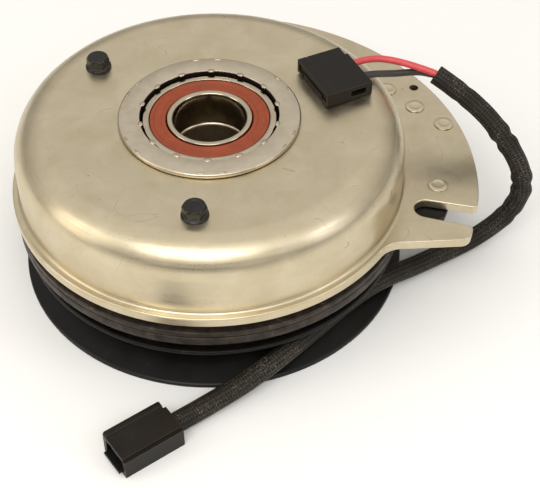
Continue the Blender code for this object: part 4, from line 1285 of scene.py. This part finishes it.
@dataclass
class FieldHousing:
    """Pressed dome with a rim and an anti-rotation tab, and the rivets in the tab."""

    finishes: Finishes
    rim_radius: float = 79.4
    rim_low: float = 36.5
    rim_high: float = 40.5
    tab_radius: float = 106.7
    tab_edge: float = -44.7
    tab_middle: float = math.radians(27.5)
    tab_blend: float = 10.0
    slot_angle: float = math.radians(-17.8)
    slot_end: float = 87.1
    slot_half_width: float = 4.7
    slot_lip: float = 106.4
    slot_mouth_half: float = 5.3
    lip_rounding: float = 1.6
    corner_rounding: float = 4.5
    arc_start: float = math.radians(-14.0)
    arc_sweep: float = math.radians(90.0)
    arc_steps: int = 45
    inner_radius: float = 75.2
    inner_steps: int = 32
    rivet_spots: tuple[tuple[float, float], ...] = ((77.1, 47.8), (87.4, 35.4), (97.8, 23.4), (89.5, -13.8))
    hole_spot: tuple[float, float] = (88.8, 48.3)
    hole_radius: float = 2.0
    dome: tuple[Corner, ...] = (
        (33.5, 68.0, 0.5), (76.4, 69.72, 13.0), (76.4, 40.5, 2.2), (79.35, 40.5, 0.7), (79.4, 36.5, 0.5),
        (73.4, 36.5, 0.3), (73.4, 66.6, 10.0), (33.5, 65.0, 0.5),
    )

    def slot_points(self) -> list[Corner]:
        """Work out the open slot, from its lower lip round its end to its upper lip.

        Returns:
            The slot's corners, in millimetres.
        """
        outward = Vector((math.cos(self.slot_angle), math.sin(self.slot_angle)))
        across = Vector((-outward.y, outward.x))
        lower = outward * self.slot_lip - across * self.slot_mouth_half
        upper = outward * self.slot_lip + across * self.slot_mouth_half
        end = outward * self.slot_end
        round_end: list[Corner] = []
        for step in range(HALF_TURN_STEPS + 1):
            angle = self.slot_angle - math.radians(90.0) - math.radians(180.0) * step / HALF_TURN_STEPS
            spot = end + Vector((math.cos(angle), math.sin(angle))) * self.slot_half_width
            round_end.append((spot.x, spot.y, 0.0))
        return [(lower.x, lower.y, self.lip_rounding), *round_end, (upper.x, upper.y, self.lip_rounding)]

    def tab_outline(self) -> list[Vector]:
        """Outline of the tab with its blends, corners and slot.

        Returns:
            The outline's points, in metres.
        """
        blend_y = self.tab_edge - self.tab_blend
        blend_x = math.sqrt((self.rim_radius + self.tab_blend) ** 2 - blend_y ** 2)
        start = math.atan2(-blend_y, -blend_x)
        blend: list[Corner] = []
        for step in range(HALF_TURN_STEPS + 1):
            angle = start + (math.radians(90.0) - start) * step / HALF_TURN_STEPS
            x = blend_x + self.tab_blend * math.cos(angle)
            y = blend_y + self.tab_blend * math.sin(angle)
            blend.append((x, y, 0.0))
        corner_x = math.sqrt(self.tab_radius ** 2 - self.tab_edge ** 2)
        lower = blend + [(corner_x, self.tab_edge, self.corner_rounding)]
        upper: list[Corner] = []
        for x, y, rounding in reversed(lower):
            radius = math.hypot(x, y)
            angle = 2.0 * self.tab_middle - math.atan2(y, x)
            upper.append((radius * math.cos(angle), radius * math.sin(angle), rounding))
        arc: list[Corner] = []
        for step in range(1, self.arc_steps):
            angle = self.arc_start + self.arc_sweep * step / self.arc_steps
            arc.append((self.tab_radius * math.cos(angle), self.tab_radius * math.sin(angle), 0.0))
        inner: list[Corner] = []
        high = math.atan2(upper[-1][1], upper[-1][0])
        low = math.atan2(lower[0][1], lower[0][0])
        for step in range(self.inner_steps + 1):
            angle = high + (low - high) * step / self.inner_steps
            inner.append((self.inner_radius * math.cos(angle), self.inner_radius * math.sin(angle), 0.0))
        return rounded_outline(lower + self.slot_points() + arc + upper + inner, 6)

    def build_housing(self) -> None:
        """Spin the dome, add the tab and pierce the spare hole."""
        shell = lathe("field_dome", self.dome, RIM_SEGMENTS, steps=7)
        tab = plate("tab", self.tab_outline(), self.rim_low, self.rim_high)
        soften_edges(tab, 0.55, 3, 50.0)
        combine(tab, round_tool("spare_hole", self.hole_radius, 30.0, 45.0, self.hole_spot), "DIFFERENCE")
        combine(shell, tab, "UNION")
        focus(shell)
        weight_normals(shell, 34.0)
        dress(shell, self.finishes.get(self.finishes.zinc), Body.FIELD, Slot.ZINC, "field_housing")

    def build_rivets(self) -> None:
        """Model one dimpled rivet and copy it to each place."""
        section = (
            (0.0, 32.8, 0.0), (3.0, 32.8, 0.3), (3.2, 33.4, 0.0), (2.0, 33.4, 0.0), (2.0, 40.8, 0.0),
            (4.1, 40.55, 0.1), (4.0, 41.0, 0.35), (2.5, 41.2, 0.4), (1.6, 40.95, 0.4), (0.0, 40.9, 0.0),
        )
        first = lathe("tab_rivet_head_1", section, 32, self.rivet_spots[0], on_axis=True)
        rivets = [first]
        for number, spot in enumerate(self.rivet_spots[1:], 2):
            move = Vector((spot[0] - self.rivet_spots[0][0], spot[1] - self.rivet_spots[0][1], 0.0)) * MM
            twin = copy_of(first, move)
            twin.name = f"tab_rivet_head_{number}"
            rivets.append(twin)
        for number, rivet in enumerate(rivets, 1):
            dress(rivet, self.finishes.get(self.finishes.zinc), Body.FIELD, Slot.ZINC, f"tab_rivet_{number}")

    def build(self) -> None:
        """Build the housing and its rivets."""
        self.build_housing()
        self.build_rivets()


@dataclass
class BearingRetainer:
    """Turned steel bush that holds the field bearing, staked over it and crimped to the dome."""

    finishes: Finishes
    face: float = 70.0
    stakes: int = 14
    stake_size: Corner = (1.0, 1.5, 0.42)
    stake_radius: float = 26.85
    first_stake: float = math.radians(87.0)
    crimps: int = 6
    crimp_size: Corner = (0.45, 1.7, 0.28)
    crimp_radius: float = 34.3
    first_crimp: float = math.radians(30.0)
    crimp_lean: float = math.radians(7.0)
    section: tuple[Corner, ...] = (
        (26.95, 70.0, 0.2), (35.35, 70.0, 0.8), (35.35, 68.4, 0.2), (33.2, 68.3, 0.0), (33.2, 46.0, 0.4),
        (24.6, 46.0, 0.4), (24.6, 53.2, 0.3), (26.3, 53.2, 0.0), (26.3, 61.0, 0.1), (26.95, 61.4, 0.2),
    )
    groove_shade_section: tuple[Corner, ...] = (
        (26.8, 69.55, 0.1), (26.94, 69.55, 0.0), (26.94, 62.0, 0.0), (26.8, 62.0, 0.1),
    )

    def mark(self, name: str, size: Corner, radius: float, angle: float) -> bpy.types.Object:
        """Raise one small rounded mark on the ring's face.

        Args:
            name: The mark's name.
            size: Its half sizes across, along and up, in millimetres.
            radius: Its distance from the axis, in millimetres.
            angle: Its angle round the axis.

        Returns:
            The mark.
        """
        clear_selection()
        bpy.ops.mesh.primitive_uv_sphere_add(segments=14, ring_count=8, radius=1.0 * MM)
        mark = bpy.context.object
        mark.name = name
        bpy.ops.object.mode_set(mode="EDIT")
        bpy.ops.transform.resize(value=size, center_override=(0.0, 0.0, 0.0))
        bpy.ops.object.mode_set(mode="OBJECT")
        return turn_and_place(mark, angle, (radius * math.cos(angle), radius * math.sin(angle), self.face))

    def build(self) -> None:
        """Turn the ring, line its groove with a near-black sheet of painted shade and add its stake and
        crimp marks.
        """
        ring = lathe("retainer_ring", self.section, RING_SEGMENTS)
        dress(ring, self.finishes.get(self.finishes.turned), Body.FIELD, Slot.MACHINED, "bearing_retainer")
        # A thin near-black ring on the groove's outer wall is painted shade for the deep groove, not a real
        # part
        groove_shade = lathe("retainer_groove_painted_shade", self.groove_shade_section, RING_SEGMENTS)
        dress(groove_shade, self.finishes.get(self.finishes.groove_shade), Body.FIELD, Slot.BLACK_STEEL)
        marks: list[bpy.types.Object] = []
        for index in range(self.stakes):
            angle = self.first_stake + math.tau * index / self.stakes
            marks.append(self.mark("stake", self.stake_size, self.stake_radius, angle))
        for index in range(self.crimps):
            for side in (-1.0, 1.0):
                angle = self.first_crimp + side * self.crimp_lean + math.tau * index / self.crimps
                marks.append(self.mark("crimp", self.crimp_size, self.crimp_radius, angle))
        stakes = unite(marks, "retainer_stake_marks")
        bpy.ops.object.shade_smooth()
        dress(stakes, self.finishes.get(self.finishes.bearing), Body.FIELD, Slot.MACHINED)


@dataclass(frozen=True)
class TurnedPiece:
    """One turned ring and the CAD node it stands for."""

    name: str
    node: str
    body: Body
    slot: Slot
    finish: MetalFinish | MouldedFinish
    section: tuple[Corner, ...]
    segments: int = SMALL_SEGMENTS

    def build(self, finishes: Finishes) -> bpy.types.Object:
        """Turn and dress the piece.

        Args:
            finishes: The finishes.

        Returns:
            The piece.
        """
        piece = lathe(self.name, self.section, self.segments)
        dress(piece, finishes.get(self.finish), self.body, self.slot, self.node)
        return piece


@dataclass
class FieldBearing:
    """Rings and terracotta seals of the field's bearing, whose balls keep their CAD shape."""

    finishes: Finishes

    def build(self) -> None:
        """Turn the rings and the seals."""
        kit = self.finishes
        pieces = (
            TurnedPiece(
                "bearing_outer_race", "field_bearing_outer_ring", Body.FIELD, Slot.BEARING, kit.bearing,
                ((23.4, 68.3, 0.3), (24.0, 68.5, 0.2), (26.0, 68.5, 0.45), (26.0, 53.5, 0.7),
                 (23.4, 53.5, 0.4)), RING_SEGMENTS,
            ),
            TurnedPiece(
                "bearing_inner_race", "field_bearing_inner_ring", Body.ROTOR, Slot.BEARING, kit.bearing,
                ((14.29, 68.5, 0.7), (16.5, 68.5, 0.4), (16.5, 53.5, 0.4), (14.29, 53.5, 0.7)),
                RING_SEGMENTS,
            ),
            TurnedPiece(
                "bearing_seal_upper", "field_bearing_seal_top", Body.FIELD, Slot.SEAL, kit.seal,
                ((16.95, 67.1, 0.0), (23.15, 67.1, 0.0), (23.15, 68.15, 0.25), (21.9, 68.15, 0.25),
                 (21.5, 67.8, 0.2), (18.9, 67.8, 0.25), (18.5, 68.2, 0.25), (17.3, 68.2, 0.25),
                 (16.95, 67.7, 0.1)), RING_SEGMENTS,
            ),
            TurnedPiece(
                "bearing_seal_lower", "field_bearing_seal_bottom", Body.FIELD, Slot.SEAL, kit.seal,
                ((16.95, 54.0, 0.2), (23.05, 54.0, 0.2), (23.05, 54.9, 0.2), (16.95, 54.9, 0.2)),
            ),
        )
        for piece in pieces:
            piece.build(kit)


@dataclass
class FieldScrews:
    """Two black flanged hexagon screws through the dome."""

    finishes: Finishes
    circle: float = 55.1
    angles: tuple[float, ...] = (math.radians(142.6), math.radians(263.1))
    seat: float = 68.9
    across_flats: float = 8.2
    head: float = 5.0
    shank_end: float = 61.6
    shank_radius: float = 2.35
    flange_radius: float = 5.15
    flange_rise: float = 0.7
    flange_top: float = 1.5
    blank_radius: float = 4.8
    crown_radius: float = 3.9
    crown_drop: float = 1.1
    dish_depth: float = 0.25

    def build_head(self, number: int, angle: float) -> None:
        """Model one screw with its flange, hexagon and shank.

        Args:
            number: The screw's number.
            angle: Its angle round the axis.
        """
        spot = (self.circle * math.cos(angle), self.circle * math.sin(angle))
        flange_section = (
            (0.0, self.shank_end, 0.0), (self.shank_radius, self.shank_end, 0.3),
            (self.shank_radius, self.seat, 0.0), (self.flange_radius, self.seat, 0.15),
            (self.flange_radius, self.seat + self.flange_rise, 0.3),
            (self.crown_radius, self.seat + self.flange_top, 0.4), (0.0, self.seat + 1.6, 0.0),
        )
        flange = lathe(f"dome_screw_{number}", flange_section, 40, spot, on_axis=True)
        clear_selection()
        middle = (spot[0] * MM, spot[1] * MM, (self.seat + self.head / 2.0 + 0.5) * MM)
        bpy.ops.mesh.primitive_cylinder_add(
            vertices=6, radius=self.across_flats / math.sqrt(3.0) * MM, depth=self.head * MM,
            location=middle, rotation=(0.0, 0.0, angle),
        )
        hexagon = bpy.context.object
        hexagon.name = "hexagon"
        bpy.ops.object.transform_apply(location=True, rotation=True, scale=True)
        top = self.seat + self.head
        blank_section = (
            (0.0, self.seat, 0.0), (self.blank_radius, self.seat, 0.0),
            (self.blank_radius, top - self.crown_drop, 0.0), (self.crown_radius, top, 0.3), (2.9, top, 0.2),
            (2.6, top - self.dish_depth, 0.2), (0.0, top - self.dish_depth, 0.0),
        )
        combine(hexagon, lathe("head_blank", blank_section, 40, spot, on_axis=True), "INTERSECT")
        soften_edges(hexagon, 0.3, 3, 24.0)
        screw = unite([flange, hexagon], f"dome_screw_{number}")
        oxide = self.finishes.get(self.finishes.oxide)
        dress(screw, oxide, Body.FIELD, Slot.BLACK_STEEL, f"field_screw_{number}")

    def build(self) -> None:
        """Model both screws."""
        for number, angle in enumerate(self.angles, 1):
            self.build_head(number, angle)


@dataclass
class UpperPlug:
    """Black plug on the coil's header, open towards the bearing, with a side window."""

    finishes: Finishes
    place: Corner = (50.0, 17.6, 69.3)
    turn: float = math.radians(22.5)
    length: float = 19.8
    width: float = 25.6
    height: float = 5.8
    wall: float = 1.3
    past: float = 1.0

    def build(self) -> None:
        """Model the plug's shell with its mouth, foot slot, window, moulding line and notches."""
        half_length = self.length / 2.0
        half_width = self.width / 2.0
        shell = block("plug_shell", (-half_length, -half_width, 0.0), (half_length, half_width, self.height))
        behind, beside = half_length + self.past, half_width + self.past
        cuts = (
            ("mouth", (-behind, -half_width + self.wall, self.wall),
             (half_length - 2.4, half_width - self.wall, self.height - self.wall)),
            ("foot_slot", (-behind, -8.2, -self.past), (-7.2, 8.2, 2.0)),
            ("window", (0.6, -beside, self.wall + 0.2),
             (7.2, -half_width + self.wall + 0.5, self.height - 1.7)),
            ("front_line", (-half_length + 3.7, -beside, self.height - 0.3),
             (-half_length + 4.1, beside, self.height + self.past)),
            ("back_notch", (half_length - 2.0, half_width - 6.4, -self.past), (behind, beside, 2.6)),
            ("top_notch", (half_length - 1.2, half_width - 5.2, -self.past), (behind, beside, 8.0)),
        )
        for name, low, high in cuts:
            combine(shell, block(name, low, high), "DIFFERENCE")
        soften_edges(shell, 0.45, 3)
        turn_and_place(shell, self.turn, self.place)
        nylon = self.finishes.get(self.finishes.nylon)
        dress(shell, nylon, Body.FIELD, Slot.BLACK_PLASTIC, "upper_plug_housing")


# ---------------------------------------------------------------- rotating groups


@dataclass
class Rotor:
    """Rotor hub on the crankshaft and the rotor disc."""

    finishes: Finishes
    keyway_low: Corner = (-3.175, -17.5, -1.0)
    keyway_high: Corner = (3.175, 0.0, 55.0)

    def build(self) -> None:
        """Turn the hub and the disc, and cut the keyway."""
        kit = self.finishes
        hub = TurnedPiece(
            "crankshaft_hub", "rotor_hub", Body.ROTOR, Slot.MACHINED, kit.turned,
            ((14.29, 0.8, 0.8), (14.29, 53.2, 1.2), (20.2, 53.2, 0.8), (20.2, 40.0, 0.6),
             (27.0, 40.0, 0.4), (27.0, 33.0, 0.4), (23.4, 33.0, 0.4), (23.4, 17.9, 0.3),
             (19.7, 17.9, 0.0), (19.7, 0.8, 0.6)), RING_SEGMENTS,
        ).build(kit)
        combine(hub, block("keyway", self.keyway_low, self.keyway_high), "DIFFERENCE")
        focus(hub)
        bpy.ops.object.shade_smooth_by_angle(angle=math.radians(30.0))
        disc = TurnedPiece(
            "rotor_plate", "rotor_disc", Body.ROTOR, Slot.WORN_IRON, kit.worn,
            ((27.3, 33.4, 0.3), (34.0, 33.4, 0.8), (38.0, 29.7, 0.5), (46.0, 29.7, 0.2),
             (46.0, 31.9, 0.1), (53.0, 31.9, 0.1), (53.0, 29.7, 0.2), (78.6, 29.7, 0.35),
             (78.6, 32.1, 0.5), (72.6, 32.6, 0.8), (72.6, 43.4, 0.4), (67.5, 43.4, 0.4),
             (67.5, 35.0, 1.0), (42.5, 35.0, 1.0), (42.5, 43.4, 0.4), (37.5, 43.4, 0.4),
             (37.5, 38.4, 1.0), (27.3, 38.4, 0.4)),
            RIM_SEGMENTS,
        )
        disc.build(kit)


@dataclass
class PulleyGroup:
    """Belt pulley of two pressed flanges on a turned hub, with its sealed bearing."""

    finishes: Finishes

    def build(self) -> None:
        """Turn the pulley's hub, flanges and bearing parts."""
        kit = self.finishes
        pieces = (
            TurnedPiece(
                "pulley_flange_upper", "pulley_upper_flange", Body.PULLEY, Slot.BLACK_STEEL, kit.black,
                ((39.8, 10.0, 0.3), (64.3, 10.0, 0.0), (64.3, 12.96, 1.2), (76.5, 17.2, 0.3),
                 (76.8, 18.0, 0.3), (76.4, 18.9, 0.35), (75.4, 19.2, 0.4), (61.7, 12.4, 1.5),
                 (39.8, 12.4, 0.3)), RIM_SEGMENTS,
            ),
            TurnedPiece(
                "pulley_flange_lower", "pulley_lower_flange", Body.PULLEY, Slot.BLACK_STEEL, kit.black,
                ((39.8, 7.3, 0.3), (61.3, 7.3, 1.5), (74.6, 0.2, 0.5), (75.2, 0.0, 0.3), (78.4, 0.0, 0.4),
                 (78.6, 0.6, 0.3), (78.5, 1.6, 0.3), (77.9, 2.0, 0.3), (64.3, 6.72, 1.2),
                 (64.3, 9.7, 0.0), (39.8, 9.7, 0.3)), RIM_SEGMENTS,
            ),
            TurnedPiece(
                "pulley_boss", "pulley_hub", Body.PULLEY, Slot.MACHINED, kit.turned,
                ((34.3, 0.0, 0.5), (39.5, 0.0, 0.8), (39.5, 20.5, 0.6), (30.5, 20.5, 0.5),
                 (30.5, 17.9, 0.0), (34.3, 17.9, 0.0), (34.3, 2.3, 0.0), (35.2, 2.3, 0.0),
                 (35.2, 0.9, 0.0), (34.3, 0.9, 0.0)), RING_SEGMENTS,
            ),
            TurnedPiece(
                "pulley_race_outer", "pulley_bearing_outer_ring", Body.PULLEY, Slot.BEARING, kit.bearing,
                ((30.7, 17.6, 0.4), (34.0, 17.6, 0.7), (34.0, 2.6, 0.7), (30.7, 2.6, 0.4)), RING_SEGMENTS,
            ),
            TurnedPiece(
                "pulley_race_inner", "pulley_bearing_inner_ring", Body.ROTOR, Slot.BEARING, kit.bearing,
                ((20.0, 17.6, 0.7), (23.3, 17.6, 0.4), (23.3, 2.6, 0.4), (20.0, 2.6, 0.7)), RING_SEGMENTS,
            ),
            TurnedPiece(
                "pulley_seal_upper", "pulley_bearing_seal_top", Body.PULLEY, Slot.SEAL, kit.seal,
                ((23.6, 16.2, 0.1), (30.4, 16.2, 0.1), (30.4, 17.1, 0.3), (23.6, 17.1, 0.3)),
            ),
            TurnedPiece(
                "pulley_seal_lower", "pulley_bearing_seal_bottom", Body.PULLEY, Slot.SEAL, kit.seal,
                ((23.6, 4.0, 0.1), (23.6, 3.1, 0.3), (25.0, 3.1, 0.2), (25.4, 3.4, 0.2), (28.8, 3.4, 0.2),
                 (29.2, 3.1, 0.2), (30.4, 3.1, 0.3), (30.4, 4.0, 0.1)), RING_SEGMENTS,
            ),
        )
        for piece in pieces:
            piece.build(kit)


@dataclass
class Armature:
    """Armature plate that the coil pulls up against the rotor."""

    finishes: Finishes

    def build(self) -> None:
        """Turn the plate."""
        TurnedPiece(
            "armature_ring", "armature_plate", Body.ARMATURE, Slot.WORN_IRON, self.finishes.worn,
            ((42.0, 25.2, 0.4), (78.6, 25.2, 0.7), (78.6, 29.2, 0.4), (42.0, 29.2, 0.4)), RIM_SEGMENTS,
        ).build(self.finishes)


@dataclass
class LeafSprings:
    """Flat leaf springs from the pulley's posts to the armature's rivets; the real springs bend as the
    armature rises.
    """

    finishes: Finishes
    count: int = 3
    circle: float = 55.0
    reach: float = 16.0
    half_width: float = 6.0
    low: float = 18.6
    sheet: float = 0.8
    hole_radius: float = 2.1
    clamped: float = 4.5
    first: float = math.radians(30.0)

    def build(self) -> None:
        """Cut each spring to shape and pierce it at its two ends."""
        for index in range(self.count):
            angle = math.tau * index / self.count + self.first
            middle = Vector((math.cos(angle), math.sin(angle), 0.0)) * self.circle
            along = Vector((-math.sin(angle), math.cos(angle), 0.0))
            ends = (middle - along * self.reach, middle + along * self.reach)
            outline: list[Vector] = []
            for end, first in ((ends[1], angle), (ends[0], angle + math.pi)):
                for step in range(HALF_TURN_STEPS + 1):
                    turn = first + math.pi * step / HALF_TURN_STEPS
                    out = Vector((math.cos(turn), math.sin(turn), 0.0))
                    outline.append((end + out * self.half_width) * MM)
            spring = plate(f"armature_leaf_{index + 1}", outline, self.low, self.low + self.sheet)
            low, high = self.low - 1.0, self.low + self.sheet + 1.0
            for end in ends:
                tool = round_tool("spring_hole", self.hole_radius, low, high, (end.x, end.y))
                combine(spring, tool, "DIFFERENCE")
            soften_edges(spring, 0.12, 2)
            spring.data.materials.clear()
            spring.data.materials.append(self.finishes.get(self.finishes.spring))
            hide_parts(f"leaf_spring_{index + 1}")
            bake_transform(spring)


@dataclass
class InnerPieces:
    """CAD pieces that stay as they are and only take a better finish."""

    finishes: Finishes

    def build(self, nodes: dict[str, bpy.types.Object]) -> None:
        """Assign a finish to each CAD piece that nothing replaces.

        Args:
            nodes: The CAD objects by name.
        """
        kit = self.finishes
        plan: dict[str, MetalFinish | MouldedFinish] = {
            "tab_backing_plate": kit.plain, "coil_shell": kit.iron, "coil_bobbin": kit.bobbin,
            "coil_winding": kit.copper, "coil_potting": kit.epoxy, "coil_header": kit.plain,
            "header_blade": kit.brass, "upper_plug_terminal": kit.brass,
            "lower_connector_lock": kit.plain, "lower_connector_terminal": kit.brass,
            "friction_ring": kit.lining, "hub_snap_ring": kit.spring, "pulley_snap_ring": kit.spring,
            "pulley_rivet": kit.spring, "spring_post": kit.spring, "armature_rivet": kit.spring,
            "field_bearing_balls": kit.bearing, "pulley_bearing_balls": kit.bearing,
        }
        for name, thing in nodes.items():
            for start, finish in plan.items():
                if name.startswith(start):
                    for place in thing.material_slots:
                        place.material = kit.get(finish)
                    LOG.info("%s keeps its CAD shape", name)


def build_all(sub_assemblies: Iterable[object]) -> None:
    """Build each sub-assembly in turn.

    Args:
        sub_assemblies: The sub-assemblies, in the order in which they are built.
    """
    for part in sub_assemblies:
        LOG.info("building %s", type(part).__name__)
        part.build()


def main() -> None:
    """Build the whole visual model."""
    logging.basicConfig(level=logging.INFO, format="%(name)s: %(message)s")
    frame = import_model()
    clear_selection()
    finishes = Finishes()
    studio = Studio()
    studio.place_camera()
    build_all((
        LowerConnector(finishes), Lead(finishes), FieldHousing(finishes), BearingRetainer(finishes),
        FieldBearing(finishes), FieldScrews(finishes), UpperPlug(finishes), Rotor(finishes),
        PulleyGroup(finishes), Armature(finishes), LeafSprings(finishes),
    ))
    InnerPieces(finishes).build(frame["nodes"])
    studio.lay_floor(finishes)
    studio.light()
    clear_selection()


if __name__ == "__main__":
    main()
